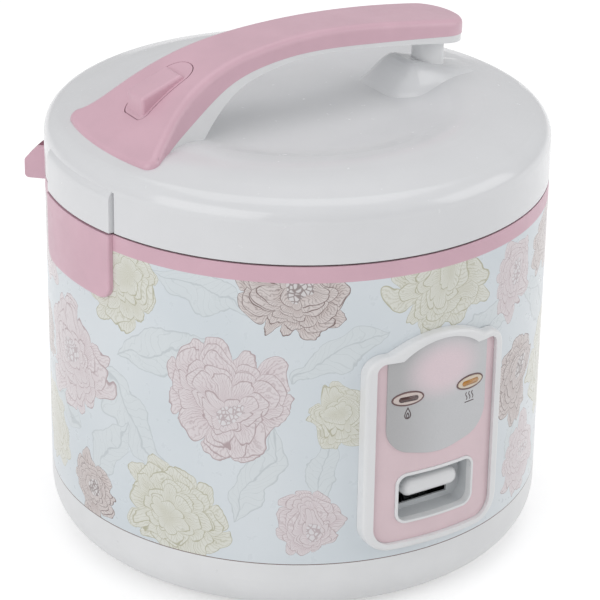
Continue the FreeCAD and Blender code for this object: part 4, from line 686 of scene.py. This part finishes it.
def bridge(made, rows, closed=False):
    """Skin over rows of corners, with an end cap on each open end."""
    pairs = list(zip(rows, rows[1:]))
    if closed:
        pairs.append((rows[-1], rows[0]))
    sides = len(rows[0])
    for first, second in pairs:
        for step in range(sides):
            following = (step + 1) % sides
            made.faces.new((first[step], first[following], second[following], second[step]))
    if not closed:
        made.faces.new(rows[0][::-1])
        made.faces.new(rows[-1])


def coil_points(low, high, coil_radius, centre, turns, wire):
    """Compression coil with closed turns at each end."""
    points = []
    total = turns + 2 * CLOSED_TURNS
    count = int(total * SPRING_STEPS)
    lift = (high - low - 2 * wire) - 2 * CLOSED_TURNS * 2 * wire
    for index in range(count + 1):
        done = total * index / count
        working = min(max(done - CLOSED_TURNS, 0.0), turns)
        ends = done - working
        z = low + wire + 2 * wire * ends + lift * working / turns
        angle = 2 * math.pi * done
        points.append(Vector((centre[0] + coil_radius * math.cos(angle),
                              centre[1] + coil_radius * math.sin(angle), z)))
    return points


def tube_mesh(name, points, radius):
    """Closed round tube along the points."""
    made = bmesh.new()
    rings = []
    for index, point in enumerate(points):
        ahead = points[min(index + 1, len(points) - 1)] - points[max(index - 1, 0)]
        ahead.normalize()
        side = ahead.cross(Vector((0, 0, 1))).normalized()
        up = side.cross(ahead).normalized()
        ring = []
        for step in range(SPRING_SIDES):
            turn = 2 * math.pi * step / SPRING_SIDES
            beside = point + side * (radius * math.cos(turn))
            ring.append(made.verts.new(beside + up * (radius * math.sin(turn))))
        rings.append(ring)
    bridge(made, rings)
    return finished(made, name)


def make_spring(node, wire, turns, body=None):
    """Wire coil in the place of a spring's solid; gives the piece and the solid's two corners."""
    low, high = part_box(node)
    centre = ((low[0] + high[0]) / 2, (low[1] + high[1]) / 2)
    coil_radius = (high[1] - low[1]) / 2 - wire
    points = coil_points(low[2], high[2], coil_radius, centre, turns, wire)
    name = node + "_wire"
    spring = add_piece(name, tube_mesh(name, points, wire), steel, body)
    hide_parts(node)
    return spring, low, high


def make_springs():
    """Two springs that ride on the lid and the body, and one between the body and the lever."""
    spring, low, high = make_spring("button_spring", BUTTON_WIRE * MM, BUTTON_TURNS, "lid")
    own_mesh(spring)
    spring, low, high = make_spring("thermostat_spring", THERMOSTAT_WIRE * MM, THERMOSTAT_TURNS, "body")
    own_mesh(spring)
    spring, low, high = make_spring("lever_spring", LEVER_WIRE * MM, LEVER_TURNS)
    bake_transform(spring)


def front_radius(node):
    """Radius of a node's outermost point, in millimetres."""
    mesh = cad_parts[node].data
    return max(math.hypot(v.co.x, v.co.y) for v in mesh.vertices) / MM


def wrapped(x, z, radius):
    """Point on the front of an upright cylinder, from millimetres to metres."""
    angle = x / radius
    return Vector((radius * math.sin(angle) * MM, -radius * math.cos(angle) * MM, z * MM))


def stadium(x, z, length, height):
    """Outline points of a long round-ended spot."""
    radius = height / 2
    reach = length / 2 - radius
    points = []
    for side in (1, -1):
        for step in range(SLOT_END_STEPS + 1):
            turn = side * math.pi / 2 - math.pi * step / SLOT_END_STEPS
            points.append((x + side * reach + radius * math.cos(turn), z + radius * math.sin(turn)))
    return points


def spot(made, outline, radius, thickness):
    """Thin pad with the given outline on the cylinder."""
    low = [made.verts.new(wrapped(x, z, radius)) for x, z in outline]
    high = [made.verts.new(wrapped(x, z, radius + thickness)) for x, z in outline]
    count = len(outline)
    made.faces.new(high)
    made.faces.new(low[::-1])
    for index in range(count):
        following = (index + 1) % count
        made.faces.new((low[index], low[following], high[following], high[index]))


def make_lamp_slots():
    """Coloured slots in the lamp lenses."""
    for node, material, slot in LAMP_SLOTS:
        x, z = middle(node)
        made = bmesh.new()
        spot(made, stadium(x, z, SLOT_LENGTH, SLOT_HEIGHT), front_radius(node), SLOT_THICKNESS)
        name = node.replace("lens", "slot")
        add_piece(name, finished(made, name), material, "body")


def ribbon(made, path, radius, closed=False):
    """Thin printed line along a path of (x, z) points on the cylinder."""
    count = len(path)
    rows = []
    for index in range(count):
        before = Vector(path[index - 1] if closed else path[max(index - 1, 0)])
        after = Vector(path[(index + 1) % count] if closed else path[min(index + 1, count - 1)])
        along = (after - before).normalized()
        side = Vector((-along.y, along.x)) * SIGN_LINE / 2
        here = Vector(path[index])
        row = []
        for corner, level in ((here + side, 0.0), (here - side, 0.0), (here - side, INK_THICKNESS),
                              (here + side, INK_THICKNESS)):
            row.append(made.verts.new(wrapped(corner.x, corner.y, radius + level)))
        rows.append(row)
    bridge(made, rows, closed)


def drop(x, z, half_width, half_height):
    """Outline points of a drop with its tip up."""
    points = []
    for step in range(FLAME_STEPS):
        turn = 2 * math.pi * (step + 0.5) / FLAME_STEPS
        points.append((x + half_width * math.sin(turn) * math.sin(turn / 2) ** FLAME_TAPER,
                       z + half_height * math.cos(turn)))
    return points


def wave(x, z):
    """Upright wavy line."""
    points = []
    for step in range(WAVE_STEPS + 1):
        share = step / WAVE_STEPS
        points.append((x + WAVE_SWING * math.sin(2 * math.pi * share), z + WAVE_HEIGHT * share))
    return points


def flame_sign(made, x, z, radius):
    """A flame within a flame."""
    ribbon(made, drop(x, z, *FLAME_OUTER), radius, closed=True)
    ribbon(made, drop(x, z - FLAME_INNER_DROP, *FLAME_INNER), radius, closed=True)


def warm_sign(made, x, z, radius):
    """Three strands of rising warmth over a short line."""
    for place in WAVE_PLACES:
        ribbon(made, wave(x + place, z - WAVE_DROP), radius)
    ribbon(made, [(x + place, z - PLATE_LINE_DROP) for place in PLATE_LINE_PLACES], radius)


def make_signs():
    """A sign for cooking and one for keeping warm, printed on the badge."""
    radius = front_radius("panel_badge")
    cook_x, cook_z = middle("cook_lamp_lens")
    warm_x, warm_z = middle("warm_lamp_lens")
    made = bmesh.new()
    flame_sign(made, cook_x, cook_z - SIGN_DROP, radius)
    warm_sign(made, warm_x, warm_z - SIGN_DROP, radius)
    add_piece("panel_signs", finished(made, "panel_signs"), ink, "body")


def make_lid_gap_shade():
    """Dark strip under the lid's edge, open at the hinge: painted shade in the gap between the ring and
    the lid.
    """
    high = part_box("middle_ring")[1][2] + LID_GAP * MM
    low = high - GAP_SHADE_DEPTH * MM
    outer = (BODY_RADIUS - GAP_SHADE_INSET) * MM
    inner = outer - GAP_SHADE_WIDTH * MM
    corners = [(inner, high), (outer, high), (outer, low), (inner, low)]
    made = bmesh.new()
    rows = []
    for step in range(GAP_SHADE_STEPS + 1):
        turn = math.radians(GAP_SHADE_OPEN + (360 - 2 * GAP_SHADE_OPEN) * step / GAP_SHADE_STEPS)
        row = []
        for radius, z in corners:
            row.append(made.verts.new((radius * math.cos(turn), radius * math.sin(turn), z)))
        rows.append(row)
    bridge(made, rows)
    add_piece("lid_gap_shade", finished(made, "lid_gap_shade"), painted_gap_shade, "lid")


# Stage

def floor_finish():
    """Pale matt floor with an even glow for the camera and for gloss."""
    tree = Tree("floor")
    matte = tree.nodes.new("ShaderNodeBsdfDiffuse")
    matte.inputs[0].default_value = FLOOR_COLOUR
    glow = tree.nodes.new("ShaderNodeEmission")
    glow.inputs[0].default_value = BACKDROP_COLOUR
    path = tree.nodes.new("ShaderNodeLightPath")
    seen = tree.math("MAXIMUM", path.outputs["Is Camera Ray"], path.outputs["Is Glossy Ray"])
    tree.put(glow.inputs[1], tree.math("MULTIPLY", seen, FLOOR_GLOW))
    both = tree.nodes.new("ShaderNodeAddShader")
    tree.links.new(matte.outputs[0], both.inputs[0])
    tree.links.new(glow.outputs[0], both.inputs[1])
    output = tree.nodes.new("ShaderNodeOutputMaterial")
    tree.links.new(both.outputs[0], output.inputs[0])
    return tree.material


def make_floor():
    """Wide round floor, which isn't part of the cooker."""
    mesh = bpy.data.meshes.new("floor")
    made = bmesh.new()
    bmesh.ops.create_circle(made, cap_ends=True, segments=FLOOR_SIDES, radius=FLOOR_RADIUS)
    made.to_mesh(mesh)
    made.free()
    mesh.materials.append(floor_finish())
    floor = bpy.data.objects.new("floor", mesh)
    bpy.context.scene.collection.objects.link(floor)


def make_world():
    """Soft light from all round, in front of a white backdrop."""
    world = bpy.data.worlds.new("studio")
    bpy.context.scene.world = world
    world.use_nodes = True
    nodes = world.node_tree.nodes
    links = world.node_tree.links
    nodes.clear()
    path = nodes.new("ShaderNodeLightPath")
    ambient = nodes.new("ShaderNodeBackground")
    ambient.inputs[0].default_value = AMBIENT_COLOUR
    ambient.inputs[1].default_value = AMBIENT_STRENGTH
    backdrop = nodes.new("ShaderNodeBackground")
    backdrop.inputs[0].default_value = BACKDROP_COLOUR
    backdrop.inputs[1].default_value = BACKDROP_STRENGTH
    choice = nodes.new("ShaderNodeMixShader")
    links.new(path.outputs["Is Camera Ray"], choice.inputs[0])
    links.new(ambient.outputs[0], choice.inputs[1])
    links.new(backdrop.outputs[0], choice.inputs[2])
    output = nodes.new("ShaderNodeOutputWorld")
    links.new(choice.outputs[0], output.inputs[0])


def make_lamps():
    """Soft area lamps, all aimed at the cooker's middle."""
    for name, place, size, power in STUDIO_LAMPS:
        lamp = bpy.data.lights.new(name, "AREA")
        lamp.shape = "RECTANGLE"
        lamp.size = size[0]
        lamp.size_y = size[1]
        lamp.energy = power
        holder = bpy.data.objects.new(name, lamp)
        bpy.context.scene.collection.objects.link(holder)
        holder.location = place
        aim = Vector(STUDIO_TARGET) - Vector(place)
        holder.rotation_euler = aim.to_track_quat("-Z", "Y").to_euler()


def make_camera():
    """Camera at the photo's viewing angle."""
    camera = bpy.data.cameras.new("camera")
    camera.lens = CAMERA_LENS
    camera.sensor_width = CAMERA_SENSOR
    camera.shift_x = CAMERA_SHIFT_X
    holder = bpy.data.objects.new("camera", camera)
    bpy.context.scene.collection.objects.link(holder)
    azimuth = math.radians(CAMERA_AZIMUTH)
    place = (CAMERA_DISTANCE * math.sin(azimuth), -CAMERA_DISTANCE * math.cos(azimuth), CAMERA_HEIGHT)
    holder.matrix_world = (
        Matrix.Translation(place)
        @ Matrix.Rotation(azimuth, 4, "Z")
        @ Matrix.Rotation(math.radians(90 - CAMERA_PITCH), 4, "X")
        @ Matrix.Rotation(math.radians(CAMERA_ROLL), 4, "Z"))
    bpy.context.scene.camera = holder


dress_solids()
make_springs()
make_lamp_slots()
make_signs()
make_lid_gap_shade()
make_floor()
make_world()
make_lamps()
make_camera()
bpy.context.scene.view_settings.view_transform = "Standard"
